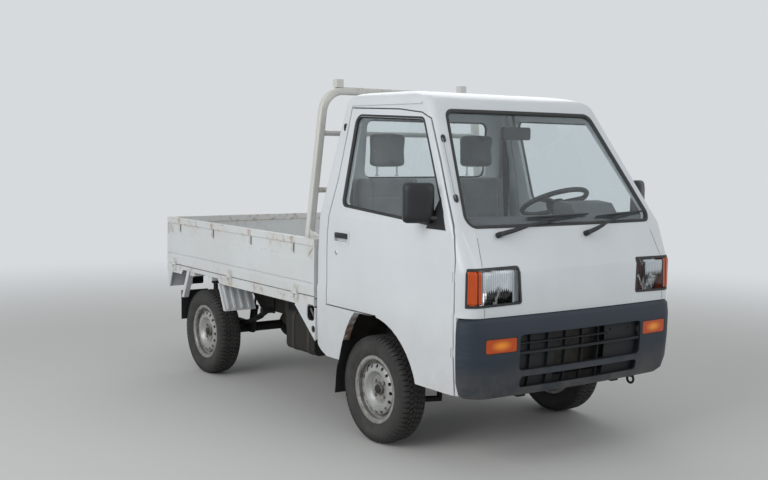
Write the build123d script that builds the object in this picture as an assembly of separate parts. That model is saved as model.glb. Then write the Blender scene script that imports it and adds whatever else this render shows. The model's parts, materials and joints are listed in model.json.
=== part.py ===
from build123d import *
import os
from functools import cache
from math import cos, radians, sin

# Small cab-over pickup truck with drop sides, in millimetres.
# Origin on the ground under the middle of the truck, front towards -Y, +Z up, left-hand drive (+X).

os.makedirs("parts", exist_ok=True)

# overall sizes
overall_length = 3200.0
body_width = 1380.0
wheelbase = 1900.0
track = 1204.0
front_axle_y = -812.0
rear_axle_y = front_axle_y + wheelbase
front_overhang = 776.0
front_end_y = front_axle_y - front_overhang
rear_end_y = front_end_y + overall_length
half_body = body_width / 2

# running clearances
moving_gap = 5.6
fit_gap = 0.06
seat_gap = 0.3

# wheels and tyres
tyre_radius = 267.0
tyre_width = 145.0
rim_flange_r = 169.0
rim_seat_r = 152.0
rim_well_r = 136.0
rim_half_width = 57.0
rim_wall = 4.0
vent_hole_count = 16
vent_hole_r = 9.0
spindle_r = 15.0
wheel_nut_circle_r = 50.0
wheel_nut_count = 4

# cab
cab_rear_y = -300.0
belt_z = 1112.0
gutter_z = 1684.0
roof_top_z = 1746.0
sill_z = 367.0
rear_wall_low_z = 640.0
wall_side = 40.0
wall_front = 36.0
wall_rear = 32.0
wall_roof = 28.0
panel_seam = 0.8
rail_lip = 7.0
rail_lip_height = 9.0
glass_thickness = 5.0
bumper_top_z = 718.0

# load bed
bed_floor_z = 663.0
bed_floor_thickness = 12.0
bed_front_y = -283.0
gate_top_z = 973.0
gate_bottom_z = bed_floor_z + moving_gap
gate_thickness = 40.0
gate_web = 34.0
hinge_barrel_r = 7.0
hinge_pin_r = 3.0
hinge_standoff = 8.0
gate_rear_y = rear_end_y - hinge_barrel_r - hinge_standoff
bed_rail_bottom_z = 608.0
bed_rail_raised_z = 638.0
bed_rail_depth = 40.0
cargo_rise = 1.0
cargo_edge_gap = 10.0
guard_y = -110.0
guard_foot_half = 36.0
sheet = 6.0
sill_height = 38.0
sill_width = 60.0

# ladder frame
rail_width = 45.0
rail_height = 95.0
rail_front_x = 290.0
rail_rear_x = 335.0

# steering
kingpin_low = (535.0, front_axle_y, 190.0)
kingpin_high = (452.0, front_axle_y, 760.0)
steering_centre = (305.0, -1050.0, 1190.0)
steering_tilt = 25.0
steering_rim_r = 185.0


def box(x0, x1, y0, y1, z0, z1):
    centre = Pos((x0 + x1) / 2, (y0 + y1) / 2, (z0 + z1) / 2)
    return centre * Box(abs(x1 - x0), abs(y1 - y0), abs(z1 - z0))


def outline_face(points, radius=0):
    face = make_face(Polyline(*points, close=True))
    return fillet(face.vertices(), radius) if radius else face


def prism_x(points, x0, x1, radius=0):
    return extrude(Plane.YZ.offset(x0) * outline_face(points, radius), x1 - x0)


def prism_y(points, y0, y1, radius=0):
    return extrude(Plane.XZ.offset(-y0) * outline_face(points, radius), y0 - y1)


def prism_z(points, z0, z1, radius=0):
    return extrude(Plane.XY.offset(z0) * outline_face(points, radius), z1 - z0)


def rod(start, end, radius):
    axis = Vector(*end) - Vector(*start)
    place = Plane(origin=start, z_dir=axis)
    return place * Cylinder(radius, axis.length, align=(Align.CENTER, Align.CENTER, Align.MIN))


def mirrored(shape):
    return mirror(shape, about=Plane.YZ)


def both_sides(shape):
    return [shape, mirrored(shape)]


def save(name, shape):
    pieces = shape if isinstance(shape, list) else [shape]
    solids = [solid for piece in pieces for solid in piece.solids()]
    export_step(solids[0] if len(solids) == 1 else Compound(children=solids), "parts/" + name + ".step")


# cab body sections from sill to gutter
# columns: z, half width, front y, front bulge, corner radius, rear y
cab_sections = [
    (sill_z, half_body - 10, -1535.0, 22.0, 105.0, cab_rear_y),
    (560.0, half_body - 2, -1553.0, 24.0, 105.0, cab_rear_y),
    (727.0, half_body, -1562.0, 25.0, 105.0, cab_rear_y),
    (743.0, half_body - 4, -1562.0, 25.0, 104.0, cab_rear_y - 1),
    (915.0, half_body - 4, -1557.0, 26.0, 94.0, cab_rear_y - 3),
    (931.0, half_body - 4, -1549.0, 26.0, 88.0, cab_rear_y - 4),
    (1098.0, half_body - 7, -1472.0, 28.0, 50.0, cab_rear_y - 13),
    (belt_z, half_body - 9, -1462.0, 29.0, 44.0, cab_rear_y - 14),
    (gutter_z, half_body - 143, -1094.0, 20.0, 34.0, cab_rear_y - 56),
]
# domed roof above the gutter, same columns
roof_sections = [
    (gutter_z, half_body - 143, -1094.0, 20.0, 34.0, cab_rear_y - 56),
    (1700.0, half_body - 149, -1072.0, 19.0, 38.0, cab_rear_y - 61),
    (1715.0, half_body - 159, -1040.0, 18.0, 44.0, cab_rear_y - 69),
    (1728.0, half_body - 175, -988.0, 16.0, 54.0, cab_rear_y - 82),
    (1738.0, half_body - 200, -918.0, 14.0, 72.0, cab_rear_y - 102),
    (1743.5, half_body - 240, -850.0, 12.0, 90.0, cab_rear_y - 140),
    (roof_top_z, half_body - 320, -760.0, 10.0, 110.0, cab_rear_y - 220),
]
rear_corner_r = 22.0


def body_section(z, half_width, front_y, bulge, corner, rear_y, side=0, front=0, rear=0):
    half = half_width - side
    middle = front_y + front
    edge = middle + bulge
    back = rear_y - rear
    sides = Polyline((half, edge), (half, back), (-half, back), (-half, edge))
    nose = ThreePointArc((-half, edge), (0, middle), (half, edge))
    face = make_face([sides, nose])
    front_corners = face.vertices().sort_by(Axis.Y)[:2]
    face = fillet(front_corners, max(corner - side, 8))
    back_corners = face.vertices().sort_by(Axis.Y)[-2:]
    face = fillet(back_corners, max(rear_corner_r - side / 2, 6))
    return Pos(0, 0, z) * face


@cache
def cab_form(side=0, front=0, rear=0, top=0):
    lower = [body_section(*row, side, front, rear) for row in cab_sections]
    upper = [Pos(0, 0, -top) * body_section(*row, side, front, rear) for row in roof_sections]
    return loft(lower[:-1] + upper, ruled=True)


# wheel arch, cut through sides and doors
arch_front_r = 373.0
arch_rear = [(-668.0, 636.0), (-640.0, 607.0), (-612.0, 570.0), (-584.0, 525.0), (-560.0, 475.0),
             (-543.0, 425.0), (-527.0, sill_z)]


def front_arch(x0, x1):
    angles = [14 + step * 8 for step in range(10)]
    arc = [(front_axle_y - arch_front_r * cos(radians(a)),
            tyre_radius + arch_front_r * sin(radians(a))) for a in angles]
    low = [(arc[0][0] - 6, sill_z - 30)]
    return prism_x(low + arc + [(front_axle_y, 639.0)] + arch_rear + [(-513.0, sill_z - 30)], x0, x1)


# door opening in the side, as (y, z)
door_front_y = -1455.0
door_outline = [
    (-403.0, 639.0), (-399.0, 1000.0), (-428.0, 1300.0), (-421.0, 1668.0), (-840.0, 1655.0),
    (-1030.0, 1636.0), (-1108.0, 1606.0), (-1240.0, 1404.0), (-1324.0, 1270.0), (-1420.0, 1120.0),
    (-1434.0, 1084.0), (door_front_y, 970.0), (door_front_y, sill_z - 20), (-1000.0, sill_z - 20),
    (-850.0, 639.0),
]
door_gap = 6.8
door_rebate_gap = 13.5
door_skin = 8.0
door_window = [(-486.0, 1620.0), (-1050.0, 1600.0), (-1372.0, 1112.0), (-519.0, 1165.0)]
door_window_r = 38.0
door_edge_r = 6.5
handle_place = (-607.0, -468.0, 975.0, 1032.0)
handle_depth = 24.0
door_axis_x = -(half_body - 8.0)
door_axis_y = door_front_y + door_gap + door_edge_r
door_hinge_heights = [(540.0, 580.0), (880.0, 920.0)]
door_pin_r = 2.6
door_barrel_r = 5.2


def door_prism(gap, x0, x1):
    face = outline_face(door_outline)
    if gap:
        face = offset(face, -gap, kind=Kind.INTERSECTION)
    return extrude(Plane.YZ.offset(x0) * face, x1 - x0)


def handle_recess():
    y0, y1, z0, z1 = handle_place
    points = [(y0, z0), (y1, z0), (y1, z1), (y0, z1)]
    return prism_x(points, -half_body - 10, -half_body + handle_depth, 12)


def windscreen_hole(grow=0):
    half_low, half_high, low_z, high_z = 606.0 + grow, 473.0 + grow, 1112.0 - grow, 1636.0 + grow
    points = [(-half_low, low_z), (half_low, low_z), (half_high, high_z), (-half_high, high_z)]
    return prism_y(points, -1700, -1000, 42 + grow)


def rear_window_hole(grow=0):
    half, low_z, high_z = 425.0 + grow, 1293.0 - grow, 1610.0 + grow
    points = [(-half, low_z), (half, low_z), (half, high_z), (-half, high_z)]
    return prism_y(points, -460, -200, 48 + grow)


def roof_cut():
    cut = prism_x([(-100, 1682), (-840, 1671), (-1040, 1652), (-1131, 1638), (-1700, 1638),
                   (-1700, 1900), (-100, 1900)], -800, 800)
    return cut + box(-500, 500, -1115, -425, 1630, 1720)


def front_panel_cut(seam=0):
    half = [(588 - seam, 300), (588 - seam, 770), (590 - seam, 950), (572 - seam, 1096), (566 - seam, 1140)]
    return prism_y(half + [(-x, z) for x, z in half[::-1]], -1700, -1380)


def rear_wall_cut():
    return prism_y([(-638, 300), (638, 300), (638, 1110), (506, 1700), (-506, 1700), (-638, 1110)],
                   -420, -200)


bumper_end_y = -1468.0
bumper_zone = box(-800, 800, -1800, bumper_end_y, 200, bumper_top_z + 3)

# head lamps, as XZ outline for +X
lamp_outline = [(388.0, 945.0), (376.0, 772.0), (700.0, 765.0), (700.0, 940.0)]
lamp_back_y = -1504.0


def lamp_zone(shrink=0, x_in=0, x_out=700):
    face = outline_face(lamp_outline, 14)
    if shrink:
        face = offset(face, -shrink, kind=Kind.INTERSECTION)
    zone = extrude(Plane.XZ.offset(1700) * face, -(1700 + lamp_back_y - shrink))
    return zone & box(x_in, x_out, -1700, lamp_back_y - shrink, 700, 1000)


def drip_rail():
    # rain gutter along the roof's edge above each door
    strip = cab_form(side=-rail_lip) - cab_form(side=1)
    strip &= box(-800, 800, -1020, -420, gutter_z - rail_lip_height, gutter_z)
    return strip


def cab_panels():
    shell = cab_form() - cab_form(wall_side, wall_front, wall_rear, wall_roof)
    shell -= windscreen_hole()
    shell -= rear_window_hole()
    shell -= bumper_zone
    lamps = lamp_zone()
    shell -= [lamps, mirrored(lamps)]
    rail = drip_rail()
    roof = (shell & roof_cut()) + rail
    body = shell - roof_cut() - rail
    front_zone = front_panel_cut()
    rear_zone = rear_wall_cut()
    front = largest(body & front_panel_cut(panel_seam))
    rear = largest((body & rear_zone) - box(-800, 800, -600, -200, 300, rear_wall_low_z))
    right = box(-900, -300, -1800, 0, 200, 1900)
    side_all = (body - front_zone - rear_zone) & right
    arch = front_arch(-800, -400)
    side_all -= arch
    skin = cab_form() - cab_form(side=door_skin)
    door_side = side_all - cab_form(side=wall_side, front=-120)
    door = door_side & skin & door_prism(door_gap, -800, -400)
    door += (door_side - skin) & door_prism(door_rebate_gap, -800, -400)
    door = largest(door - handle_recess())
    side = largest(side_all - (door_prism(0, -800, -400) - cab_form(side=wall_side + 8, front=-120)))
    return roof, front, rear, side, door


def door_hinge_leaf(z0, z1):
    # fixed leaf: a barrel round the door's pin and a plate back to the pillar
    centre = (door_axis_x, door_axis_y)
    barrel = Pos(*centre, (z0 + z1) / 2) * Cylinder(door_barrel_r, z1 - z0)
    plate = box(door_axis_x + 1.6, door_axis_x + door_barrel_r, door_front_y - 0.5, door_axis_y, z0, z1)
    bore = Pos(*centre, (z0 + z1) / 2) * Cylinder(door_pin_r + fit_gap, z1 - z0 + 2)
    return barrel + plate - bore


def hang_door(door, side):
    centre = (door_axis_x, door_axis_y)
    corner = box(door_axis_x - 20, door_axis_x, door_front_y, door_axis_y, sill_z - 5, 960)
    corner -= Pos(*centre, 660) * Cylinder(door_edge_r, 700)
    door -= corner
    for z0, z1 in door_hinge_heights:
        reach = door_barrel_r + 1.0
        notch = box(door_axis_x - 30, door_axis_x + reach, door_front_y, door_axis_y + reach, z0 - 1, z1 + 1)
        pin = Pos(*centre, (z0 + z1) / 2) * Cylinder(door_pin_r, z1 - z0 + 8)
        door = door - notch + pin
        side += door_hinge_leaf(z0, z1)
    return largest(door), side


def window_sheet(outline, radius, shrink, depth):
    face = offset(outline_face(outline, radius), -shrink, kind=Kind.INTERSECTION)
    prism = extrude(Plane.YZ.offset(-800) * face, 400)
    sheet = cab_form(side=depth) - cab_form(side=depth + glass_thickness)
    return largest(sheet & prism)


def largest(shape):
    return shape.solids().sort_by(SortBy.VOLUME)[-1]


def cab_glass():
    front_sheet = cab_form(side=10, front=10) - cab_form(side=10 + glass_thickness, front=10 + glass_thickness)
    windscreen = largest(front_sheet & windscreen_hole(-seat_gap))
    rear_sheet = cab_form(rear=10) - cab_form(rear=10 + glass_thickness)
    rear_pane = largest(rear_sheet & rear_window_hole(-seat_gap))
    return [windscreen, rear_pane]


def front_surface_y(x, z, stand_off):
    # y of the cab's front surface at a point seen from the front
    for low, high in zip(cab_sections, cab_sections[1:]):
        if low[0] <= z <= high[0]:
            share = (z - low[0]) / (high[0] - low[0])
            half, middle, bulge = [low[i] + share * (high[i] - low[i]) for i in (1, 2, 3)]
            return middle + bulge * (x / half) ** 2 - stand_off
    return front_end_y


# floor of the cab as (y, z) of its upper side, toe board to rear wall
floor_path = [(-1488.0, 740.0), (-1440.0, 436.0), (-1166.0, 436.0), (-1148.0, 667.0), (-300.0, 667.0)]
floor_thickness = 12.0
floor_half_width = half_body - wall_side - 10.0
wheel_house_x = 346.0
seat_plinth_z = 735.0
seat_x0, seat_x1 = 105.0, 515.0


def cab_floor():
    under = [(y - floor_thickness if i < 2 else y + floor_thickness, z - floor_thickness)
             for i, (y, z) in enumerate(floor_path)]
    under[0] = (floor_path[0][0] - floor_thickness, floor_path[0][1])
    pan = prism_x(floor_path + under[::-1], -700, 700)
    for x0, x1 in [(wheel_house_x, wheel_house_x + 8), (-wheel_house_x - 8, -wheel_house_x)]:
        pan += box(x0, x1, -1150, -472, 424, 660)
    for x0, x1 in [(wheel_house_x, 700), (-700, -wheel_house_x)]:
        pan += box(x0, x1, -480, -472, 430, 660)
    for x0, x1 in [(seat_x0 + 20, seat_x1 - 20), (-seat_x1 + 20, -seat_x0 - 20)]:
        pan += box(x0, x1, -770, -460, 660, seat_plinth_z)
    half, back = floor_half_width, cab_rear_y - wall_rear - 1.3
    plan = [(-half, back), (-half, -1440), (65 - half, -1500), (half - 65, -1500), (half, -1440), (half, back)]
    return largest(pan & prism_z(plan, 300, 900))


dash_half_width = 630.0
dash_profile = [(-1600.0, 1150.0), (-1400.0, 1150.0), (-1215.0, 1140.0), (-1178.0, 1120.0),
                (-1182.0, 985.0), (-1232.0, 905.0), (-1420.0, 880.0), (-1600.0, 880.0)]
hood_profile = [(-1360.0, 1130.0), (-1310.0, 1196.0), (-1215.0, 1206.0), (-1196.0, 1192.0),
                (-1196.0, 1130.0)]


def dashboard(inner):
    board = prism_x(dash_profile, -dash_half_width, dash_half_width)
    hood_x = steering_centre[0]
    board += prism_x(hood_profile, hood_x - 150, hood_x + 150)
    board &= inner
    return largest(board - column_rod(0, 360, column_r + seat_gap))


column_r = 30.0
steering_shaft_r = 10.0


def column_point(distance):
    tilt = radians(steering_tilt)
    x, y, z = steering_centre
    return (x, y - distance * sin(tilt), z - distance * cos(tilt))


def column_rod(start, end, radius):
    return rod(column_point(start), column_point(end), radius)


def steering_column(floor):
    column = column_rod(42, 350, column_r) + column_rod(340, 870, 12)
    column -= column_rod(30, 110, steering_shaft_r + fit_gap)
    return largest(column - floor - box(0, 700, -1800, -900, 0, 436))


def steering_wheel():
    tilt = radians(steering_tilt)
    axis = Vector(0, sin(tilt), cos(tilt))
    place = Plane(origin=steering_centre, x_dir=(1, 0, 0), z_dir=axis)
    grip_r = 13.0
    wheel = Torus(steering_rim_r - grip_r, grip_r)
    wheel += Pos(0, 0, -16) * Cylinder(46, 36)
    for angle in (-28, 208):
        wheel += Rot(0, 0, angle) * Pos(105, 0, -8) * Box(140, 34, 12)
    wheel += Pos(0, 0, -60) * Cylinder(steering_shaft_r, 70)
    return place * wheel


def seats():
    cushion = fillet(box(seat_x0, seat_x1, -800, -440, seat_plinth_z + seat_gap, 850).edges(), 24)
    back_profile = [(-486.0, 850.3), (-402.0, 850.3), (-374.0, 1312.0), (-446.0, 1312.0)]
    back = fillet(prism_x(back_profile, seat_x0, seat_x1).edges(), 22)
    middle = (seat_x0 + seat_x1) / 2
    rest = fillet(box(middle - 112, middle + 112, -448, -366, 1358, 1540).edges(), 28)
    for x in (middle - 65, middle + 65):
        rest += rod((x, -408, 1312 + seat_gap), (x, -408, 1380), 6)
    return both_sides(cushion), both_sides(back), both_sides(rest)


def inner_mirror(roof):
    glass = fillet(box(-90, 90, -1084, -1062, 1508, 1572).edges().filter_by(Axis.Y), 14)
    stem = rod((0, -1066, 1560), (0, -1030, 1700), 7)
    return largest(glass + stem - roof)


# wipers: pivot, blade start and blade end as (x, z) seen from the front
wiper_layout = [((-455, 1076), (-241, 1148), (157, 1156)), ((88, 1067), (220, 1144), (575, 1158))]


def wipers():
    pieces = []
    for pivot, start, end in wiper_layout:
        def on_glass(point, stand_off):
            return (point[0], front_surface_y(*point, stand_off), point[1])
        middle = ((start[0] + end[0]) / 2, (start[1] + end[1]) / 2)
        boss = rod(on_glass(pivot, -12), on_glass(pivot, 22), 11) - cab_form()
        arm = rod(on_glass(pivot, 16), on_glass(middle, 8), 5)
        blade = rod(on_glass(start, -1), on_glass(end, -1), 5)
        link = rod(on_glass(middle, 12), on_glass(middle, -1), 6)
        pieces.append(boss + arm + blade + link)
    return pieces


# bumper sections, columns as for the cab
bumper_sections = [
    (352.0, 645.0, front_end_y + 36, 30.0, 112.0, -1350.0),
    (372.0, 672.0, front_end_y + 21, 31.0, 116.0, -1350.0),
    (430.0, 686.0, front_end_y + 9, 32.0, 116.0, -1350.0),
    (540.0, 689.0, front_end_y + 1, 32.0, 116.0, -1350.0),
    (650.0, 689.0, front_end_y, 32.0, 114.0, -1350.0),
    (702.0, 686.0, front_end_y + 8, 31.0, 110.0, -1350.0),
    (bumper_top_z, 674.0, front_end_y + 21, 30.0, 104.0, -1350.0),
]
bumper_wall = 7.0
grille_depth = 34.0
# bumper openings as x0, x1, z0, z1, corner radius
upper_grille = (-399.0, 399.0, 470.0, 635.0, 22.0)
lower_grille = (-388.0, 385.0, 390.0, 442.0, 18.0)
turn_signal = (415.0, 593.0, 561.0, 629.0, 10.0)
duct_half_width = 166.0
plate_hole_x = [210.0, 337.0]
plate_hole_z = 604.0
plate_hole_r = 4.0
fin_x = [-326.0, -218.0, -110.0, -2.0, 106.0]


def bumper_form(inset, open_back=False):
    rows = []
    for z, half, front_y, bulge, corner, back in bumper_sections:
        z = min(z, bumper_top_z - inset) if open_back else z
        rows.append(body_section(z, half, front_y, bulge, corner, back, inset, inset, -60 if open_back else 0))
    return loft(rows, ruled=True)


def bumper_hole(opening, grow=0):
    x0, x1, z0, z1, corner = opening
    points = [(x0 - grow, z0 - grow), (x1 + grow, z0 - grow), (x1 + grow, z1 + grow), (x0 - grow, z1 + grow)]
    return prism_y(points, -1700, -1500, corner + grow)


@cache
def slab_between(outer_inset, inner_inset):
    slab = bumper_form(outer_inset) - bumper_form(inner_inset, True)
    return slab & box(-800, 800, -1700, bumper_end_y, 300, 800)


def front_bumper():
    bumper = slab_between(0, bumper_wall) - box(-600, 600, -1520, -1400, 700, 800)
    bumper -= [bumper_hole(upper_grille), bumper_hole(lower_grille), bumper_hole(turn_signal)]
    bumper -= mirrored(bumper_hole(turn_signal))
    return largest(bumper)


def bumper_grille():
    frames = [bumper_hole(opening, 8) - bumper_hole(opening, -1) for opening in (upper_grille, lower_grille)]
    duct = box(-duct_half_width, duct_half_width, -1700, -1400, 300, 700)
    panels = [bumper_hole(opening, 2) - duct for opening in (upper_grille, lower_grille)]
    bars = [box(-398, 398, -1700, -1400, z0, z1) for z0, z1 in [(545, 556), (593, 597)]]
    fins = [box(x - 2, x + 2, -1700, -1400, z0, z1) for x in fin_x for z0, z1 in [(391, 441), (471, 634)]]
    zone = box(-410, 410, -1700, bumper_end_y - 13, 380, 650)
    grille = slab_between(bumper_wall + seat_gap, grille_depth) & zone & Part(children=frames)
    grille += slab_between(grille_depth - 4, grille_depth) & zone & Part(children=panels)
    grille += slab_between(5, grille_depth) & zone & Part(children=bars)
    grille += slab_between(14, grille_depth) & zone & Part(children=fins)
    return grille - [rod((x, -1700, plate_hole_z), (x, -1540, plate_hole_z), plate_hole_r) for x in plate_hole_x]


def turn_signals():
    return both_sides(largest(slab_between(1, 24) & bumper_hole(turn_signal, -seat_gap)))


lamp_split_x = 625.0
bezel_width = 11.0


def head_lamps():
    zone = lamp_zone(seat_gap)
    opening = lamp_zone(bezel_width)
    bezel = (cab_form(-3, -3) - cab_form(30, 30)) & (zone - opening)
    bezel += (cab_form(20, 20) - cab_form(30, 30)) & zone
    bar = box(lamp_split_x - 3, lamp_split_x + 3, -1700, lamp_back_y, 700, 1000)
    bezel += (cab_form(0, 0) - cab_form(30, 30)) & zone & bar
    inner_zone = lamp_zone(bezel_width + seat_gap)
    lens_sheet = (cab_form(1, 1) - cab_form(16, 16)) & inner_zone
    lens = lens_sheet & box(0, lamp_split_x - 3.3, -1700, -1400, 700, 1000)
    amber = lens_sheet & box(lamp_split_x + 3.3, 800, -1700, -1400, 700, 1000)
    return largest(bezel), largest(lens), largest(amber)


# side profile of the frame rails as (y, bottom z)
rail_path = [(-1500.0, 328.7), (-420.0, 328.7), (-230.0, 430.0), (860.0, 430.0), (960.0, 508.0),
             (1560.0, 508.0)]
crossmember_y = [-1470.0, -1130.0, -520.0, 60.0, 470.0, 900.0, 1280.0, 1535.0]
crossmember_half = 28.0
tow_hook_x = 410.0
tow_hook_y = -1514.0
tow_hook_r = 20.0
bed_sill_y = [60.0, 360.0, 660.0, 960.0, 1215.0, 1470.0]


def rail_bottom(y):
    for (y0, z0), (y1, z1) in zip(rail_path, rail_path[1:]):
        if y0 <= y <= y1:
            return z0 + (z1 - z0) * (y - y0) / (y1 - y0)
    return rail_path[-1][1]


def ladder_frame(bumper_inner):
    side_view = [(y, z) for y, z in rail_path] + [(y, z + rail_height) for y, z in rail_path[::-1]]
    x0, x1 = rail_front_x, rail_rear_x
    plan = [(x0, -1640), (x0, -420), (x1, -230), (x1, 1560), (x1 + rail_width, 1560),
            (x1 + rail_width, -230), (x0 + rail_width, -420), (x0 + rail_width, -1640)]
    rail = prism_x(side_view, 200, 500) & prism_z(plan, 200, 800)
    frame = rail + mirrored(rail)
    for y in crossmember_y:
        z = rail_bottom(y)
        half = (rail_front_x if y < -420 else rail_rear_x) + 10
        frame += box(-half, half, y - crossmember_half, y + crossmember_half, z + 15, z + rail_height - 15)
    for y in bed_sill_y + [-240.0]:
        base = rail_bottom(y) + rail_height - 2
        post = box(rail_rear_x + 2, rail_rear_x + rail_width - 2, y - 26, y + 26, base,
                   bed_floor_z - bed_floor_thickness - sill_height)
        frame += post + mirrored(post)
    frame += box(-455, 455, -1498, -1442, rail_bottom(-1470) + 15, rail_bottom(-1470) + rail_height - 15)
    horn = box(418, 455, -1640, -1480, 350, 400) & bumper_inner
    frame += horn + mirrored(horn)
    hook = Pos(tow_hook_x, tow_hook_y, 350 - tow_hook_r) * Rot(0, 90, 0) * Torus(tow_hook_r, 6)
    frame += hook + box(tow_hook_x - 6, 425, tow_hook_y - 10, tow_hook_y + 20, 340, 364)
    return frame


bed_half_inner = half_body - bed_rail_depth


def bed_floor():
    top = bed_floor_z
    bed = box(-bed_half_inner - 2, bed_half_inner + 2, bed_front_y, gate_rear_y, top - bed_floor_thickness, top)
    # cargo face: ribbed sheet between the gates, behind the feet of the guard
    cargo_half = half_body - gate_thickness - cargo_edge_gap
    cargo_front, cargo_rear = guard_y + guard_foot_half + 4, gate_rear_y - gate_thickness - 7
    bed += box(-cargo_half, cargo_half, cargo_front, cargo_rear, top - 1, top + cargo_rise)
    for step in range(-7, 8):
        middle = step * 82
        bed -= box(middle - 17, middle + 17, cargo_front + 10, cargo_rear - 17, top - 5, top + cargo_rise + 1)
    web = [(bed_front_y, bed_rail_bottom_z), (822, bed_rail_bottom_z), (850, bed_rail_raised_z),
           (1350, bed_rail_raised_z), (1378, bed_rail_bottom_z), (gate_rear_y, bed_rail_bottom_z),
           (gate_rear_y, top), (bed_front_y, top)]
    rail = prism_x(web, half_body - sheet, half_body)
    rail += box(bed_half_inner, half_body, bed_front_y, gate_rear_y, top - sheet, top)
    for y0, y1, z in [(bed_front_y, 822, bed_rail_bottom_z), (850, 1350, bed_rail_raised_z),
                      (1378, gate_rear_y, bed_rail_bottom_z)]:
        rail += box(bed_half_inner + 4, half_body, y0, y1, z, z + sheet)
    bed += rail + mirrored(rail)
    under = top - bed_floor_thickness
    for y in bed_sill_y:
        bed += box(-half_body + 3, half_body - 3, y - sill_width / 2, y + sill_width / 2, under - sill_height, under)
    bed += box(-half_body, half_body, gate_rear_y - 50, gate_rear_y, bed_rail_bottom_z, top)
    bed += box(-half_body + 3, half_body - 3, bed_front_y, bed_front_y + 70, under - sill_height, under)
    oval = skirt_holes(half_body - 60, half_body + 10)
    bed -= [oval, mirrored(oval)]
    for y in side_hinge_y:
        lug = hinge_fixed(y)
        bed += lug + mirrored(lug)
    for x in tail_hinge_x:
        bed += tail_place(hinge_fixed(x))
    return largest(bed)


side_hinge_y = [-99.0, 682.0, 1477.0]
tail_hinge_x = [-480.0, 0.0, 480.0]
hinge_x = half_body + hinge_standoff
hinge_z = bed_floor_z + moving_gap / 2
hinge_lug = 14.0
hinge_eye = 26.0


def hinge_fixed(y):
    # two lugs and the pin between them, on the outer face of the rail
    half = hinge_eye / 2 + 0.5
    pieces = Pos(hinge_x, y, hinge_z) * Rot(90, 0, 0) * Cylinder(hinge_pin_r, 2 * half + 4)
    for y0, y1 in [(y - half - hinge_lug, y - half), (y + half, y + half + hinge_lug)]:
        lug = rod((hinge_x, y0, hinge_z), (hinge_x, y1, hinge_z), hinge_barrel_r)
        foot = box(half_body - 2, hinge_x + 2, y0, y1, hinge_z - 24, hinge_z - 3.4)
        foot += box(half_body - 2, hinge_x, y0, y1, hinge_z - 6, hinge_z - 2.8)
        pieces += lug + foot
    return pieces


def hinge_moving(y):
    # one eye on the gate, bored for the pin
    y0, y1 = y - hinge_eye / 2, y + hinge_eye / 2
    eye = rod((hinge_x, y0, hinge_z), (hinge_x, y1, hinge_z), hinge_barrel_r)
    leaf = box(half_body - 1, hinge_x + 2, y0, y1, hinge_z + 3.4, hinge_z + 24)
    leaf += box(half_body - 1, hinge_x, y0, y1, hinge_z + 2.8, hinge_z + 6)
    bore = rod((hinge_x, y0 - 1, hinge_z), (hinge_x, y1 + 1, hinge_z), hinge_pin_r + fit_gap)
    return eye + leaf - bore


def tail_place(shape):
    # turns a piece made for the +X side to the rear end
    return Pos(0, gate_rear_y - half_body, 0) * Rot(0, 0, 90) * shape


def gate_wall(y0, y1):
    out, top, low = half_body, gate_top_z, gate_bottom_z
    inside = out - gate_web
    profile = [(inside, low), (out, low), (out, 716), (out - 7, 722), (out - 7, 732), (out, 740),
               (out, 856), (out - 8, 864), (out - 8, top - 40), (out, top - 36), (out, top),
               (out - gate_thickness, top), (out - gate_thickness, top - 38), (inside, top - 42)]
    wall = prism_y(profile, y0, y1)
    for end in (y0, y1 - 14):
        wall += box(out - 9, out, end, end + 14, 716, top - 30)
    return wall


def side_gate():
    gate = gate_wall(bed_front_y, gate_rear_y)
    for y in side_hinge_y:
        gate += hinge_moving(y)
    return largest(gate)


def tailgate():
    half = half_body - gate_thickness - moving_gap
    gate = gate_wall(-half, half)
    for x in tail_hinge_x:
        gate += hinge_moving(x)
    return tail_place(largest(gate))


front_wall_thickness = 28.0
guard_tube = 44.0
guard_foot_x = 618.0
guard_top_z = 1768.0
guard_bar_z = [1225.0, 1535.0]
guard_stub_x = 437.0


def bed_front_wall():
    half = bed_half_inner - moving_gap
    y0, y1 = bed_front_y, bed_front_y + front_wall_thickness
    wall = box(-half, half, y0 + 8, y1, bed_floor_z, gate_top_z)
    wall += box(-half, half, y0, y1, gate_top_z - 36, gate_top_z)
    for x in (-half, -330, 0, 290, half - 40):
        wall += box(x, x + 40, y0, y0 + 10, bed_floor_z, gate_top_z - 20)
    return wall


def guard_lean(z):
    # x of a post's centre line at a height
    return guard_foot_x - 2 - (z - 950) * (guard_foot_x - 2 - 525) / (guard_top_z - 950)


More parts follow.
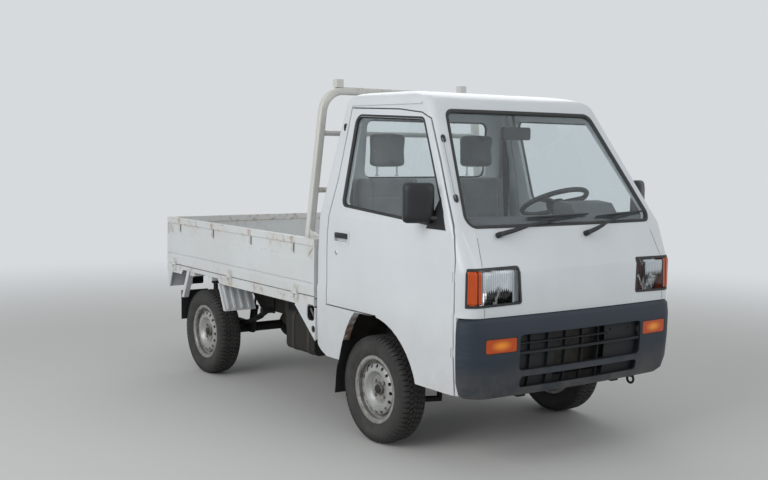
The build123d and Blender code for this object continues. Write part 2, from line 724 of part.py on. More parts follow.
def guard_frame():
    path = FilletPolyline((-guard_foot_x, bed_floor_z + 2), (-guard_foot_x + 2, 950), (-525, guard_top_z),
                          (525, guard_top_z), (guard_foot_x - 2, 950), (guard_foot_x, bed_floor_z + 2),
                          radius=[300, 130, 130, 300])
    path = Plane.XZ.offset(-guard_y) * path
    start = Plane(origin=path @ 0, z_dir=path % 0, x_dir=(0, 1, 0))
    tube = sweep(start * RectangleRounded(38, guard_tube, 10), path=path)
    for z in guard_bar_z:
        x = guard_lean(z)
        tube += rod((-x, guard_y, z), (x, guard_y, z), 15)
    for x in (-guard_stub_x, guard_stub_x):
        stub = box(x - 22, x + 22, guard_y - 20, guard_y + 20, guard_top_z + 18, guard_top_z + 62)
        stub -= box(x - 14, x + 30, guard_y - 12, guard_y + 12, guard_top_z + 24, guard_top_z + 70)
        tube += stub
    gusset = prism_x([(bed_front_y + front_wall_thickness, 972), (bed_front_y + front_wall_thickness, 925),
                      (guard_y - 12, 905), (guard_y - 12, 1012)], guard_foot_x - 6, guard_foot_x + 4)
    tube += gusset + mirrored(gusset)
    foot_y = guard_y - guard_foot_half, guard_y + guard_foot_half
    foot = box(guard_foot_x - 30, guard_foot_x + 24, *foot_y, bed_floor_z, bed_floor_z + 8)
    return tube + foot + mirrored(foot)


def skirt_holes(x0, x1):
    oval = prism_x([(-214, 534), (-290, 534), (-290, 620), (-214, 620)], x0, x1, 24)
    drain = rod((x0, -278, 491), (x1, -278, 491), 19)
    return oval + drain


def side_skirts():
    outline = [(cab_rear_y + 2, bed_rail_bottom_z), (-92, bed_rail_bottom_z), (-84, 601), (cab_rear_y + 2, 430)]
    skirt = prism_x(outline, half_body - sheet, half_body)
    skirt += box(half_body - 30, half_body - sheet, cab_rear_y + 2, cab_rear_y + 8, 436, bed_rail_bottom_z)
    return both_sides(largest(skirt - skirt_holes(half_body - 60, half_body + 10)))


def fender_stays():
    inner_x, outer_x = 480.0, half_body
    top = bed_rail_bottom_z
    plate = [(825, top), (741, 448), (748, 445), (833, top)]
    guard = prism_x(plate, inner_x, outer_x)
    guard += prism_x([(825, top), (741, 448), (768, 448), (846, top)], outer_x - 5, outer_x)
    for x in (520.0, 570.0, 620.0, 665.0):
        guard += prism_x([(828, top), (748, 458), (738, 462), (813, top)], x - 7, x + 7)
    stay = prism_x([(1252, bed_rail_raised_z), (1340, 457), (1372, 457), (1290, bed_rail_raised_z)],
                   outer_x - 34, outer_x)
    drop = prism_x([(gate_rear_y - 12, top), (gate_rear_y - 12, 504), (gate_rear_y - 36, 504), (1520, top)],
                   outer_x - 8, outer_x)
    drop += box(520, outer_x, gate_rear_y - 32, gate_rear_y - 26, 506, top)
    return both_sides(guard) + both_sides(stay) + both_sides(drop)


flap_low_z = 190.0
flap_inner_x = 555.0
flap_thickness = 3.2


def mud_flaps():
    # the front flap lies on the arch's rear edge, then hangs back, clear of the steered tyre
    back_line = [(y - seat_gap, z) for y, z in arch_rear[-3:]]
    back_line += [(-514.0, 345.0), (-503.0, 300.0), (-493.0, flap_low_z)]
    front_line = [(y - flap_thickness, z) for y, z in back_line]
    front = prism_x(back_line + front_line[::-1], flap_inner_x, half_body - 4)
    rear = box(500, half_body, 1372, 1378, 309, 500)
    return both_sides(front) + both_sides(rear)


def rear_lamps():
    lamp = box(440, 655, gate_rear_y - 25.6, gate_rear_y - 2, 512, bed_rail_bottom_z)
    return both_sides(fillet(lamp.edges().filter_by(Axis.Y), 8))


def engine_block():
    block = box(-225, 225, 540, 850, 300, 520)
    block = chamfer(block.edges().filter_by(Axis.Y), 30)
    ear = box(220, rail_rear_x, 660, 720, 440, 500)
    return block + ear + mirrored(ear)


axle_tube_r = 30.0
hub_inner_x = track / 2 - 40
spindle_end_x = track / 2 + 24


def rear_axle():
    z = tyre_radius
    y = rear_axle_y
    axle = rod((-hub_inner_x, y, z), (hub_inner_x, y, z), axle_tube_r)
    axle += rod((-spindle_end_x, y, z), (spindle_end_x, y, z), spindle_r)
    axle += Pos(0, y, z) * Sphere(98)
    axle += rod((0, y - 60, z), (0, y - 210, z + 30), 38)
    axle += rod((0, y - 200, z + 28), (0, 862.8, z + 44), 24)
    for x in (-spring_x, spring_x):
        axle += box(x - 32, x + 32, y - 38, y + 38, z + 12, z + axle_tube_r + 8)
    plate = rod((hub_inner_x - 14, y, z), (hub_inner_x - 6, y, z), 104)
    return largest(axle + plate + mirrored(plate))


spring_x = 425.0
spring_eye_z = 440.0
spring_front_y = rear_axle_y - 400.0
spring_rear_y = rear_axle_y + 390.0


def leaf_springs():
    seat_z = tyre_radius + axle_tube_r + 8
    leaves = Part()
    for count, reach in enumerate((395.0, 300.0, 190.0)):
        low = seat_z + 20.8 - count * 8
        rise = (spring_eye_z - seat_z - 20) * (reach / 395.0) ** 2
        ends = [(rear_axle_y - reach, low + rise), (rear_axle_y, low), (rear_axle_y + reach, low + rise)]
        arc = ThreePointArc(*ends)
        path = Plane.YZ.offset(spring_x) * arc
        start = Plane(origin=path @ 0, z_dir=path % 0, x_dir=(1, 0, 0))
        leaves += sweep(start * Rectangle(58, 8.4), path=path)
    leaves += box(spring_x - 34, spring_x + 34, rear_axle_y - 34, rear_axle_y + 34, seat_z, seat_z + 26)
    for y, plate_top in ((rear_axle_y - 395, 520.0), (rear_axle_y + 395, 560.0)):
        leaves += rod((spring_x - 40, y, spring_eye_z), (spring_x + 40, y, spring_eye_z), 20)
        leaves += box(rail_rear_x + rail_width, spring_x - 32, y - 22, y + 22, spring_eye_z - 20, plate_top)
    return both_sides(leaves)


def fuel_tank():
    tank = box(-640, -rail_rear_x - rail_width, -215, 85, 325, 545)
    return fillet(tank.edges().filter_by(Axis.Y), 34)


def exhaust():
    x, z = 190.0, 420.0
    pipe = rod((x, 850, z), (x, 1300, z), 18) + rod((x, 1290, z), (x, 1540, z), 58)
    pipe += rod((x, 1530, z), (x, 1590, z), 16)
    for y in (1295, 1525):
        pipe += rod((x, y, z + 10), (x, y, rail_bottom(y) + 15), 6)
    return pipe


def kingpin_point(z):
    share = (z - kingpin_low[2]) / (kingpin_high[2] - kingpin_low[2])
    return tuple(a + share * (b - a) for a, b in zip(kingpin_low, kingpin_high))


strut_pin_r = 9.0
ball_pin_r = 9.0
arm_bush_z = 225.0


def front_suspension():
    # lower arm with an eye round the knuckle's pin, and the strut above the knuckle
    eye = rod(kingpin_point(178), kingpin_point(202), 24)
    arm = prism_z([(300, -900), (300, -860), (470, -780), (505, -796), (505, -830), (470, -838)], 180, 200)
    arm += prism_z([(300, -760), (300, -720), (470, -780), (470, -815)], 180, 200)
    arm += eye
    for y in (-880, -740):
        arm += rod((300, y, 190), (300, y, rail_path[0][1]), 14)
    arm -= rod(kingpin_point(170), kingpin_point(210), ball_pin_r + fit_gap)
    strut = rod(kingpin_point(402), kingpin_point(600), 23)
    strut += rod(kingpin_point(560), kingpin_point(648), 52)
    strut += rod(kingpin_point(640), kingpin_point(680), 40)
    strut -= box(300, 700, -1000, -600, 655, 800)
    strut -= rod(kingpin_point(395), kingpin_point(460), strut_pin_r + fit_gap)
    return both_sides(largest(arm)) + both_sides(largest(strut))


steering_arm_y = front_axle_y - 118.0
steering_arm_z = 238.0


def knuckle():
    body = rod(kingpin_point(207), kingpin_point(398), 26)
    body += rod(kingpin_point(180), kingpin_point(215), ball_pin_r)
    body += rod(kingpin_point(390), kingpin_point(448), strut_pin_r)
    z, y = tyre_radius, front_axle_y
    body += rod((515, y, z), (hub_inner_x, y, z), 38)
    body += rod((515, y, z), (spindle_end_x, y, z), spindle_r)
    body += rod((hub_inner_x - 14, y, z), (hub_inner_x - 6, y, z), 104)
    x = kingpin_point(steering_arm_z)[0]
    body += prism_z([(x - 14, y), (x + 14, y), (x - 6, steering_arm_y), (x - 30, steering_arm_y)],
                    steering_arm_z - 9, steering_arm_z + 9)
    body += Pos(x - 18, steering_arm_y, steering_arm_z) * Cylinder(17, 18)
    return largest(body)


rack_z = steering_arm_z + 42
rack_r = 11.0


def steering_rack():
    y = steering_arm_y
    end_x = kingpin_point(steering_arm_z)[0] - 18
    rack = rod((-300, y, rack_z), (300, y, rack_z), rack_r)
    for side in (-1, 1):
        rack += rod((side * 290, y, rack_z), (side * end_x, y, rack_z), 8)
        rack += Pos(side * end_x, y, rack_z) * Cylinder(14, 26)
    return rack


def rack_housing():
    y = steering_arm_y
    tube = rod((-215, y, rack_z), (215, y, rack_z), 24)
    for x in (-180, 180):
        tube += box(x - 18, x + 18, y - 14, y + 14, rack_z, 350)
        tube += box(x - 18, x + 18, y - 14, crossmember_y[1] + crossmember_half + seat_gap, 345, 355)
    return tube - rod((-220, y, rack_z), (220, y, rack_z), rack_r + fit_gap)


def wheel_rim():
    # turned about Z here, outer side up; r and z of the wall's outer line
    w = rim_wall
    outer = [(rim_flange_r, 57), (rim_flange_r, 53), (158, 53), (rim_seat_r, 46), (rim_seat_r, 26),
             (rim_well_r, 14), (rim_well_r, -22), (rim_seat_r - 2, -34), (rim_seat_r, -50),
             (158, -53), (rim_flange_r, -53), (rim_flange_r, -57)]
    inner = [(r - w if abs(z) < 57 else r - 5, z) for r, z in outer]
    inner = [(154, -57), (147, -52), (145, -36), (131, -24), (131, 2), (126, 16), (121, 34), (108, 41),
             (94, 41), (84, 24), (72, 16), (34, 16), (34, 21), (69, 21), (79, 30), (90, 46.5), (110, 46.5),
             (126, 38), (133, 20), (147, 30), (147, 50), (154, 57)]
    profile = outer + inner
    face = make_face(Plane.XZ * Polyline(*profile, close=True))
    rim = revolve(face, Axis.Z)
    hub = Pos(0, 0, -6) * Cylinder(36, 44) + Pos(0, 0, -8) * Cylinder(98, 30)
    hub += Pos(0, 0, 22) * Cylinder(27, 24)
    rim += hub
    for index in range(vent_hole_count):
        angle = 360 / vent_hole_count * index
        rim -= Rot(0, 0, angle) * Pos(116, 0, 35) * Cylinder(vent_hole_r, 50)
    for index in range(wheel_nut_count):
        angle = 360 / wheel_nut_count * index + 45
        rim += Rot(0, 0, angle) * Pos(wheel_nut_circle_r, 0, 20) * extrude(RegularPolygon(9, 6), 14)
    return rim - Pos(0, 0, -40 + 27) * Cylinder(spindle_r + fit_gap, 94)


def tyre():
    w = tyre_width / 2
    bore = rim_seat_r + seat_gap
    side = [(bore, 46.0), (158.0, 52.6), (rim_flange_r + 0.5, 52.6), (173.0, 59.0), (196.0, 70.0),
            (222.0, w), (248.0, 68.0), (260.0, 60.0), (tyre_radius - 1.5, 50.0), (tyre_radius, 20.0)]
    outline = side + [(r, -z) for r, z in side[::-1]]
    face = make_face(Plane.XZ * Polyline(*outline, close=True))
    return revolve(face, Axis.Z)


def wheel_place(side, axle_y):
    # outer side of the wheel towards the outside of the truck
    return Pos(side * track / 2, axle_y, tyre_radius) * Rot(0, 90 * side, 0)


def door_mirror():
    sail = prism_x([(-1300, 1246), (-1380, 1100), (-1236, 1100)], -800, -400)
    hole = extrude(Plane.YZ.offset(-800) * offset(outline_face(door_window, door_window_r), -seat_gap), 400)
    plate = largest((cab_form(side=-2) - cab_form(side=12)) & sail & hole)
    shell = fillet(box(-797, -694, -1252, -1186, 1130, 1303).edges(), 17)
    shell -= box(-790, -701, -1192, -1180, 1138, 1295)
    arm = rod((-668, -1296, 1150), (-716, -1236, 1158), 10)
    return largest(plate + (arm - cab_form(side=4)) + shell)


inner = cab_form(wall_side, wall_front, wall_rear, wall_roof)
roof, front, rear, side, door = cab_panels()
door_hole = extrude(Plane.YZ.offset(-800) * outline_face(door_window, door_window_r), 400)
door -= door_hole
sill_corner = prism_x([(cab_rear_y + 5, 434), (-344, 393), (-400, sill_z - 1), (cab_rear_y + 5, sill_z - 1)],
                      -800, 800)
side -= sill_corner
rear -= sill_corner
door, side = hang_door(door, side)
save("roof", roof)
save("front_panel", front)
save("cab_rear_wall", rear)
save("cab_side_right", side)
save("cab_side_left", mirrored(side))
save("door_right", door)
save("door_left", mirrored(door))
pane = window_sheet(door_window, door_window_r, seat_gap, 14.0)
save("door_glass_right", pane)
save("door_glass_left", mirrored(pane))
mirror_piece = door_mirror()
save("door_mirror_right", mirror_piece)
save("door_mirror_left", mirrored(mirror_piece))
save("cab_glass", cab_glass())
floor = cab_floor()
save("cab_floor", floor)
save("dashboard", dashboard(inner))
save("steering_column", steering_column(floor))
save("steering_wheel", steering_wheel())
cushions, backs, rests = seats()
save("seat_cushions", cushions)
save("seat_backs", backs)
save("headrests", rests)
save("inner_mirror", inner_mirror(roof))
save("wipers", wipers())
save("front_bumper", front_bumper())
save("bumper_grille", bumper_grille())
save("turn_signals", turn_signals())
bezel, lens, amber = head_lamps()
save("headlight_bezels", both_sides(bezel))
save("headlight_lenses", both_sides(lens))
save("corner_lamps", both_sides(amber))
save("ladder_frame", ladder_frame(bumper_form(bumper_wall, True)))
save("bed_floor", bed_floor())
save("bed_front_wall", bed_front_wall())
save("guard_frame", guard_frame())
gate = side_gate()
save("side_gate_left", gate)
save("side_gate_right", mirrored(gate))
save("tailgate", tailgate())
save("side_skirts", side_skirts())
save("fender_stays", fender_stays())
save("mud_flaps", mud_flaps())
save("rear_lamps", rear_lamps())
save("engine_block", engine_block())
save("rear_axle", rear_axle())
save("leaf_springs", leaf_springs())
save("fuel_tank", fuel_tank())
save("exhaust", exhaust())
save("front_suspension", front_suspension())
steered = knuckle()
save("knuckle_left", steered)
save("knuckle_right", mirrored(steered))
save("steering_rack", steering_rack())
save("rack_housing", rack_housing())
rim, rubber = wheel_rim(), tyre()
for end, axle_y in (("front", front_axle_y), ("rear", rear_axle_y)):
    for hand, sign in (("left", 1), ("right", -1)):
        place = wheel_place(sign, axle_y)
        save(f"wheel_{end}_{hand}", place * rim)
        save(f"tyre_{end}_{hand}", place * rubber)
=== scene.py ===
import json
import math

import bmesh
import bpy
from mathutils import Matrix, Vector
from mathutils.bvhtree import BVHTree


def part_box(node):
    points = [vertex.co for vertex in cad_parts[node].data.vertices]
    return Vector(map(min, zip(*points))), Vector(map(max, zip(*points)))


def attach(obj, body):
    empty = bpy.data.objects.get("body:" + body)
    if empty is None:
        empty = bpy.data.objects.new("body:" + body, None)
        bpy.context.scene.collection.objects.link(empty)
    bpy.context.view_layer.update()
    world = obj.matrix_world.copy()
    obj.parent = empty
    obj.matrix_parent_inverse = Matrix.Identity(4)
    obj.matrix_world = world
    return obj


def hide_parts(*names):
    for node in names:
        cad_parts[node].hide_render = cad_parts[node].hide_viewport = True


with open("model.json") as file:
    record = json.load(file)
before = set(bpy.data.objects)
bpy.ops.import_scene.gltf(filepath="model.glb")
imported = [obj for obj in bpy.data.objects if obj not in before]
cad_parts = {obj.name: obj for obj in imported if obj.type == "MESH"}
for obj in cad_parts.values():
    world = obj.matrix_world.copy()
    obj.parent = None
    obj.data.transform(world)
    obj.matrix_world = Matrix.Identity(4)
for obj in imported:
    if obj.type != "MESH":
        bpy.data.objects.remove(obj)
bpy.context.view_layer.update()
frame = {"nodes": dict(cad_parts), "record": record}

cadNodes = frame["nodes"]
bodyOfNode = {node: body for body, names in frame["record"]["behaviour"]["bodies"].items() for node in names}
slotOfNode = {entry["node"]: entry["material_slot"] for entry in frame["record"]["subparts"]}


def hexLinear(code, alpha=1.0):
    # sRGB hex to the linear numbers that sockets take
    parts = [int(code[i:i + 2], 16) / 255 for i in (1, 3, 5)]
    return tuple(v / 12.92 if v <= 0.04045 else ((v + 0.055) / 1.055) ** 2.4 for v in parts) + (alpha,)


def addNode(tree, kind, settings=None, links=None):
    # settings: input by name or number, or a property of the node; links: input to the socket that feeds it
    node = tree.nodes.new(kind)
    props = {k: v for k, v in (settings or {}).items() if isinstance(k, str) and k not in node.inputs}
    for key, value in props.items():
        setattr(node, key, value)
    for key, value in (settings or {}).items():
        if key not in props:
            node.inputs[key].default_value = value
    for key, source in (links or {}).items():
        tree.links.new(source, node.inputs[key])
    return node


def startMaterial(name, colour, settings):
    material = bpy.data.materials.new(name)
    material.use_nodes = True
    tree = material.node_tree
    shader = tree.nodes["Principled BSDF"]
    shader.inputs["Base Color"].default_value = hexLinear(colour)
    for key, value in settings.items():
        shader.inputs[key].default_value = value
    coords = addNode(tree, "ShaderNodeTexCoord")
    return material, tree, shader, coords.outputs["Object"]


def noiseMask(tree, place, scale, low, high, detail=4.0):
    # noise turned to a mask that is 0 under low and 1 over high
    cloud = addNode(tree, "ShaderNodeTexNoise", {"Scale": scale, "Detail": detail, "Roughness": 0.6}, {"Vector": place})
    band = addNode(tree, "ShaderNodeMapRange", {"From Min": low, "From Max": high, "clamp": True},
                   {"Value": cloud.outputs["Fac"]})
    return band.outputs["Result"]


def calc(tree, operation, *values):
    # a calculation with sockets and numbers; a product, sum or maximum takes any count of them from the left
    if len(values) > 2 and operation in ("MULTIPLY", "ADD", "MAXIMUM"):
        values = (calc(tree, operation, *values[:-1]), values[-1])
    numbers = {i: v for i, v in enumerate(values) if isinstance(v, (int, float))}
    sources = {i: v for i, v in enumerate(values) if i not in numbers}
    return addNode(tree, "ShaderNodeMath", {"operation": operation, **numbers}, sources).outputs[0]


def rampOver(tree, value, stops):
    # a curve over a value from 0 to 1: stops are (position, value)
    ramp = addNode(tree, "ShaderNodeValToRGB", None, {"Fac": value})
    elements = ramp.color_ramp.elements
    elements[0].position, elements[1].position = stops[0][0], stops[-1][0]
    elements[0].color = (stops[0][1],) * 3 + (1,)
    elements[1].color = (stops[-1][1],) * 3 + (1,)
    for position, level in stops[1:-1]:
        element = elements.new(position)
        element.color = (level,) * 3 + (1,)
    return ramp.outputs["Color"]


def axisRamp(tree, place, axis, low, high, stops):
    split = addNode(tree, "ShaderNodeSeparateXYZ", None, {0: place})
    share = addNode(tree, "ShaderNodeMapRange", {"From Min": low, "From Max": high}, {"Value": split.outputs[axis]})
    return rampOver(tree, share.outputs["Result"], stops)


def mixColour(tree, mask, first, second):
    node = tree.nodes.new("ShaderNodeMix")
    node.data_type = "RGBA"
    tree.links.new(mask, node.inputs[0])
    for index, value in ((6, first), (7, second)):
        if isinstance(value, str):
            node.inputs[index].default_value = hexLinear(value)
        else:
            tree.links.new(value, node.inputs[index])
    return node.outputs[2]


def addBump(tree, shader, height, strength, distance):
    bump = addNode(tree, "ShaderNodeBump", {"Strength": strength, "Distance": distance}, {"Height": height})
    tree.links.new(bump.outputs["Normal"], shader.inputs["Normal"])


def grainBump(tree, shader, place, scale, detail, strength, distance):
    grain = addNode(tree, "ShaderNodeTexNoise", {"Scale": scale, "Detail": detail}, {"Vector": place})
    addBump(tree, shader, grain.outputs["Fac"], strength, distance)


archEdge = {"axleY": -0.812, "axleZ": 0.267, "radius": 0.380, "sideways": 0.6}


def archMask(tree, place):
    # 1 on the inner faces of the front wheel arch, which look towards the tyre
    split = addNode(tree, "ShaderNodeSeparateXYZ", None, {0: place})
    ahead = calc(tree, "SUBTRACT", split.outputs["Y"], archEdge["axleY"])
    above = calc(tree, "SUBTRACT", split.outputs["Z"], archEdge["axleZ"])
    squares = calc(tree, "ADD", calc(tree, "MULTIPLY", ahead, ahead), calc(tree, "MULTIPLY", above, above))
    near = calc(tree, "LESS_THAN", calc(tree, "SQRT", squares), archEdge["radius"])
    normal = addNode(tree, "ShaderNodeNewGeometry").outputs["Normal"]
    facing = addNode(tree, "ShaderNodeSeparateXYZ", None, {0: normal})
    inward = calc(tree, "LESS_THAN", calc(tree, "ABSOLUTE", facing.outputs["X"]), archEdge["sideways"])
    return calc(tree, "MULTIPLY", near, inward)


ropeTabY = (1.412, 0.932, 0.442, -0.048)
tabRust = {"half": 0.030, "low": 0.870, "high": 0.990, "levels": [(0.0, 0.0), (0.5, 0.35), (0.72, 1.0), (1.0, 0.8)]}


def tabMask(tree, place):
    # 1 at the rope tabs under the gates' rails, where rust runs down from them
    split = addNode(tree, "ShaderNodeSeparateXYZ", None, {0: place})
    nearness = [0.0]
    for y in ropeTabY:
        aside = calc(tree, "ABSOLUTE", calc(tree, "SUBTRACT", split.outputs["Y"], y))
        nearness.append(calc(tree, "SUBTRACT", 1.0, calc(tree, "DIVIDE", aside, tabRust["half"])))
    band = axisRamp(tree, place, "Z", tabRust["low"], tabRust["high"], tabRust["levels"])
    return calc(tree, "MULTIPLY", calc(tree, "MAXIMUM", *nearness), band)


enamelSettings = {"gloss": 0.3, "dustTone": "#a59c8c", "chipTone": "#7a4a2c", "stainTone": "#c8a67c",
                  "tabStain": "#d8a56a", "rustTones": ("#8f5a2e", "#53311f"), "peelScale": 260.0}  # 4 mm peel


def enamelPaint(name, colour, tone, dust, dustTop, chips, rustBands, rustAmount, arches=False, tabs=False):
    # stoved enamel on sheet steel: glossy, faint orange peel, road dust low down, chips that have rusted
    material, tree, shader, place = startMaterial(name, colour, {
        "IOR": 1.5, "Coat Weight": 0.2, "Coat Roughness": 0.12})
    base = mixColour(tree, noiseMask(tree, place, 2.4, 0.35, 0.7), colour, tone)
    low = axisRamp(tree, place, "Z", 0.2, dustTop, [(0.0, 1.0), (0.4, 0.5), (1.0, 0.0)])
    dusty = calc(tree, "MULTIPLY", low, noiseMask(tree, place, 7.0, 0.25, 0.75, 8.0), dust)
    base = mixColour(tree, dusty, base, enamelSettings["dustTone"])
    fine = noiseMask(tree, place, 150.0, 0.735, 0.765, 3.0)
    specks = calc(tree, "MULTIPLY", fine, noiseMask(tree, place, 5.0, 0.42, 0.6), chips)
    base = mixColour(tree, specks, base, enamelSettings["chipTone"])
    bands = axisRamp(tree, place, "Z", *rustBands)
    ragged = noiseMask(tree, place, 30.0, 0.53, 0.64, 9.0)
    patches = noiseMask(tree, place, 4.2, 0.46, 0.64, 3.0)
    rust = calc(tree, "MULTIPLY", bands, ragged, patches, rustAmount)
    rustTone = mixColour(tree, noiseMask(tree, place, 60.0, 0.3, 0.7), *enamelSettings["rustTones"])
    stain = calc(tree, "MULTIPLY", bands, patches, 0.28 * rustAmount)
    base = mixColour(tree, stain, base, enamelSettings["stainTone"])
    if arches:
        edge = calc(tree, "MULTIPLY", archMask(tree, place), noiseMask(tree, place, 34.0, 0.36, 0.52, 8.0), 0.85)
        rust = calc(tree, "MAXIMUM", rust, edge)
    if tabs:
        tabArea = tabMask(tree, place)
        base = mixColour(tree, calc(tree, "MULTIPLY", tabArea, 0.35), base, enamelSettings["tabStain"])
        spots = calc(tree, "MULTIPLY", tabArea, noiseMask(tree, place, 38.0, 0.3, 0.62, 7.0), 0.8)
        rust = calc(tree, "MAXIMUM", rust, spots)
    rough = calc(tree, "MULTIPLY_ADD", dusty, 0.45, enamelSettings["gloss"])
    rough = calc(tree, "MAXIMUM", rough, calc(tree, "MULTIPLY", rust, 0.85))
    tree.links.new(mixColour(tree, rust, base, rustTone), shader.inputs["Base Color"])
    tree.links.new(rough, shader.inputs["Roughness"])
    grainBump(tree, shader, place, enamelSettings["peelScale"], 2.0, 0.05, 0.0006)
    return material


def mouldedPlastic(name, colour, faded, roughness, grain=900.0, fadeAmount=0.5, strength=0.25, scuff=None):
    # injection-moulded plastic with a fine grain, paler where the sun has worked on it
    material, tree, shader, place = startMaterial(name, colour, {"IOR": 1.49})
    patches = calc(tree, "MULTIPLY", noiseMask(tree, place, 5.0, 0.35, 0.75, 5.0), fadeAmount)
    base = mixColour(tree, patches, colour, faded)
    worn = calc(tree, "MULTIPLY_ADD", patches, 0.12, roughness)
    if scuff:
        # scraped grey-white where the corner of the bumper has touched things, dust along its lower edge
        low, high, tone = scuff
        corner = axisRamp(tree, place, "X", low, high, [(0.0, 1.0), (0.55, 0.35), (1.0, 0.0)])
        stretch = addNode(tree, "ShaderNodeMapping", {"Scale": (5.0, 5.0, 34.0)}, {"Vector": place})
        scrape = noiseMask(tree, stretch.outputs["Vector"], 3.4, 0.52, 0.72, 12.0)
        base = mixColour(tree, calc(tree, "MULTIPLY", corner, scrape, 0.25), base, tone)
        lowDust = axisRamp(tree, place, "Z", 0.34, 0.52, [(0.0, 0.5), (1.0, 0.0)])
        lowDust = calc(tree, "MULTIPLY", lowDust, noiseMask(tree, place, 8.0, 0.3, 0.7, 8.0))
        base = mixColour(tree, lowDust, base, "#7e786c")
    tree.links.new(base, shader.inputs["Base Color"])
    tree.links.new(worn, shader.inputs["Roughness"])
    pebble = addNode(tree, "ShaderNodeTexVoronoi", {"Scale": grain}, {"Vector": place})
    addBump(tree, shader, pebble.outputs["Distance"], strength, 0.0004)
    return material


def dustyRubber(name, colour, dustColour, dustAmount, roughness=0.75, ringTone=None):
    # vulcanised rubber: matt, with dry dust in its grain
    material, tree, shader, place = startMaterial(name, colour, {"IOR": 1.52, "Roughness": roughness})
    dust = calc(tree, "MULTIPLY", noiseMask(tree, place, 14.0, 0.3, 0.75, 8.0), dustAmount)
    base = mixColour(tree, dust, colour, dustColour)
    if ringTone:
        # the sidewall is greyest near the rim, where dust stays; the share of the radius comes from the piece
        radius = addNode(tree, "ShaderNodeAttribute", {"attribute_name": "wheelRadius"})
        ring = rampOver(tree, radius.outputs["Fac"], [(0.0, 0.0), (0.56, 0.7), (0.66, 0.45), (0.8, 0.55), (0.9, 0.2),
                                                      (1.0, 0.35)])
        ring = calc(tree, "MULTIPLY", ring, noiseMask(tree, place, 20.0, 0.2, 0.8, 8.0))
        base = mixColour(tree, ring, base, ringTone)
    tree.links.new(base, shader.inputs["Base Color"])
    grainBump(tree, shader, place, 700.0, 3.0, 0.25, 0.0005)
    return material


def roughSteel(name, colour, second, roughness, metallic, patchScale=9.0):
    # bare or thinly painted steel parts under the body, with dirt and rust in patches
    material, tree, shader, place = startMaterial(name, colour, {"Metallic": metallic})
    patches = noiseMask(tree, place, patchScale, 0.38, 0.66, 8.0)
    tree.links.new(mixColour(tree, patches, colour, second), shader.inputs["Base Color"])
    tree.links.new(calc(tree, "MULTIPLY_ADD", patches, 0.25, roughness), shader.inputs["Roughness"])
    grainBump(tree, shader, place, 220.0, 6.0, 0.35, 0.0008)
    return material


def letShadowsThrough(tree, shader, tint):
    # light passes the pane on its way to what is behind it
    through = addNode(tree, "ShaderNodeBsdfTransparent", {"Color": hexLinear(tint)})
    path = addNode(tree, "ShaderNodeLightPath")
    mix = addNode(tree, "ShaderNodeMixShader", None, {
        0: path.outputs["Is Shadow Ray"], 1: shader.outputs[0], 2: through.outputs[0]})
    tree.links.new(mix.outputs[0], tree.nodes["Material Output"].inputs["Surface"])


def clearGlass(name, colour, tint, roughness=0.0):
    # float glass: lets light through to what is behind it, with a faint haze of road film
    material, tree, shader, place = startMaterial(name, colour, {"Transmission Weight": 1.0, "IOR": 1.45})
    smear = addNode(tree, "ShaderNodeTexNoise", {"Scale": 6.0, "Detail": 6.0}, {"Vector": place})
    haze = addNode(tree, "ShaderNodeMapRange", {
        "From Min": 0.5, "From Max": 0.8, "To Min": roughness, "To Max": roughness + 0.03},
        {"Value": smear.outputs["Fac"]})
    tree.links.new(haze.outputs["Result"], shader.inputs["Roughness"])
    letShadowsThrough(tree, shader, tint)
    return material


def lensPlastic(name, colour, deep, transmission, ribs, roughness=0.1, strength=0.5, glow=None):
    # moulded lamp lens with upright flutes on its inner face
    material, tree, shader, place = startMaterial(name, colour, {
        "Transmission Weight": transmission, "Roughness": roughness, "IOR": 1.49})
    flutes = addNode(tree, "ShaderNodeTexWave", {"Scale": ribs, "bands_direction": "X"}, {"Vector": place})
    base = mixColour(tree, flutes.outputs["Fac"], colour, deep)
    if glow:
        # painted highlight: a bright patch in the middle of the turn signals stands for light that the bulb's bowl
        # behind the lens would catch
        highlightX, highlightZ, reachX, reachZ, tone = glow
        split = addNode(tree, "ShaderNodeSeparateXYZ", None, {0: place})
        aside = calc(tree, "SUBTRACT", calc(tree, "ABSOLUTE", split.outputs["X"]), highlightX)
        aside = calc(tree, "DIVIDE", aside, reachX)
        above = calc(tree, "DIVIDE", calc(tree, "SUBTRACT", split.outputs["Z"], highlightZ), reachZ)
        far = calc(tree, "ADD", calc(tree, "MULTIPLY", aside, aside), calc(tree, "MULTIPLY", above, above))
        base = mixColour(tree, rampOver(tree, far, [(0.0, 0.85), (0.35, 0.4), (1.0, 0.0)]), base, tone)
    tree.links.new(base, shader.inputs["Base Color"])
    if transmission > 0.5:
        letShadowsThrough(tree, shader, colour)
    addBump(tree, shader, flutes.outputs["Fac"], strength, 0.001)
    return material


def wovenCloth(name, colour, thread, spacing):
    # plain weave of matt polyester yarn, drawn at the given thread spacing in metres
    material, tree, shader, place = startMaterial(name, colour, {
        "Roughness": 0.92, "Sheen Weight": 0.3, "Sheen Roughness": 0.5})
    yarns = [addNode(tree, "ShaderNodeTexWave", {
        "Scale": 0.5 / spacing, "bands_direction": direction, "Distortion": 1.0}, {"Vector": place})
        for direction in ("X", "DIAGONAL")]
    weave = calc(tree, "MULTIPLY", yarns[0].outputs["Fac"], yarns[1].outputs["Fac"])
    worn = mixColour(tree, noiseMask(tree, place, 9.0, 0.35, 0.7), colour, thread)
    tree.links.new(mixColour(tree, weave, worn, colour), shader.inputs["Base Color"])
    addBump(tree, shader, weave, 0.35, 0.0008)
    return material


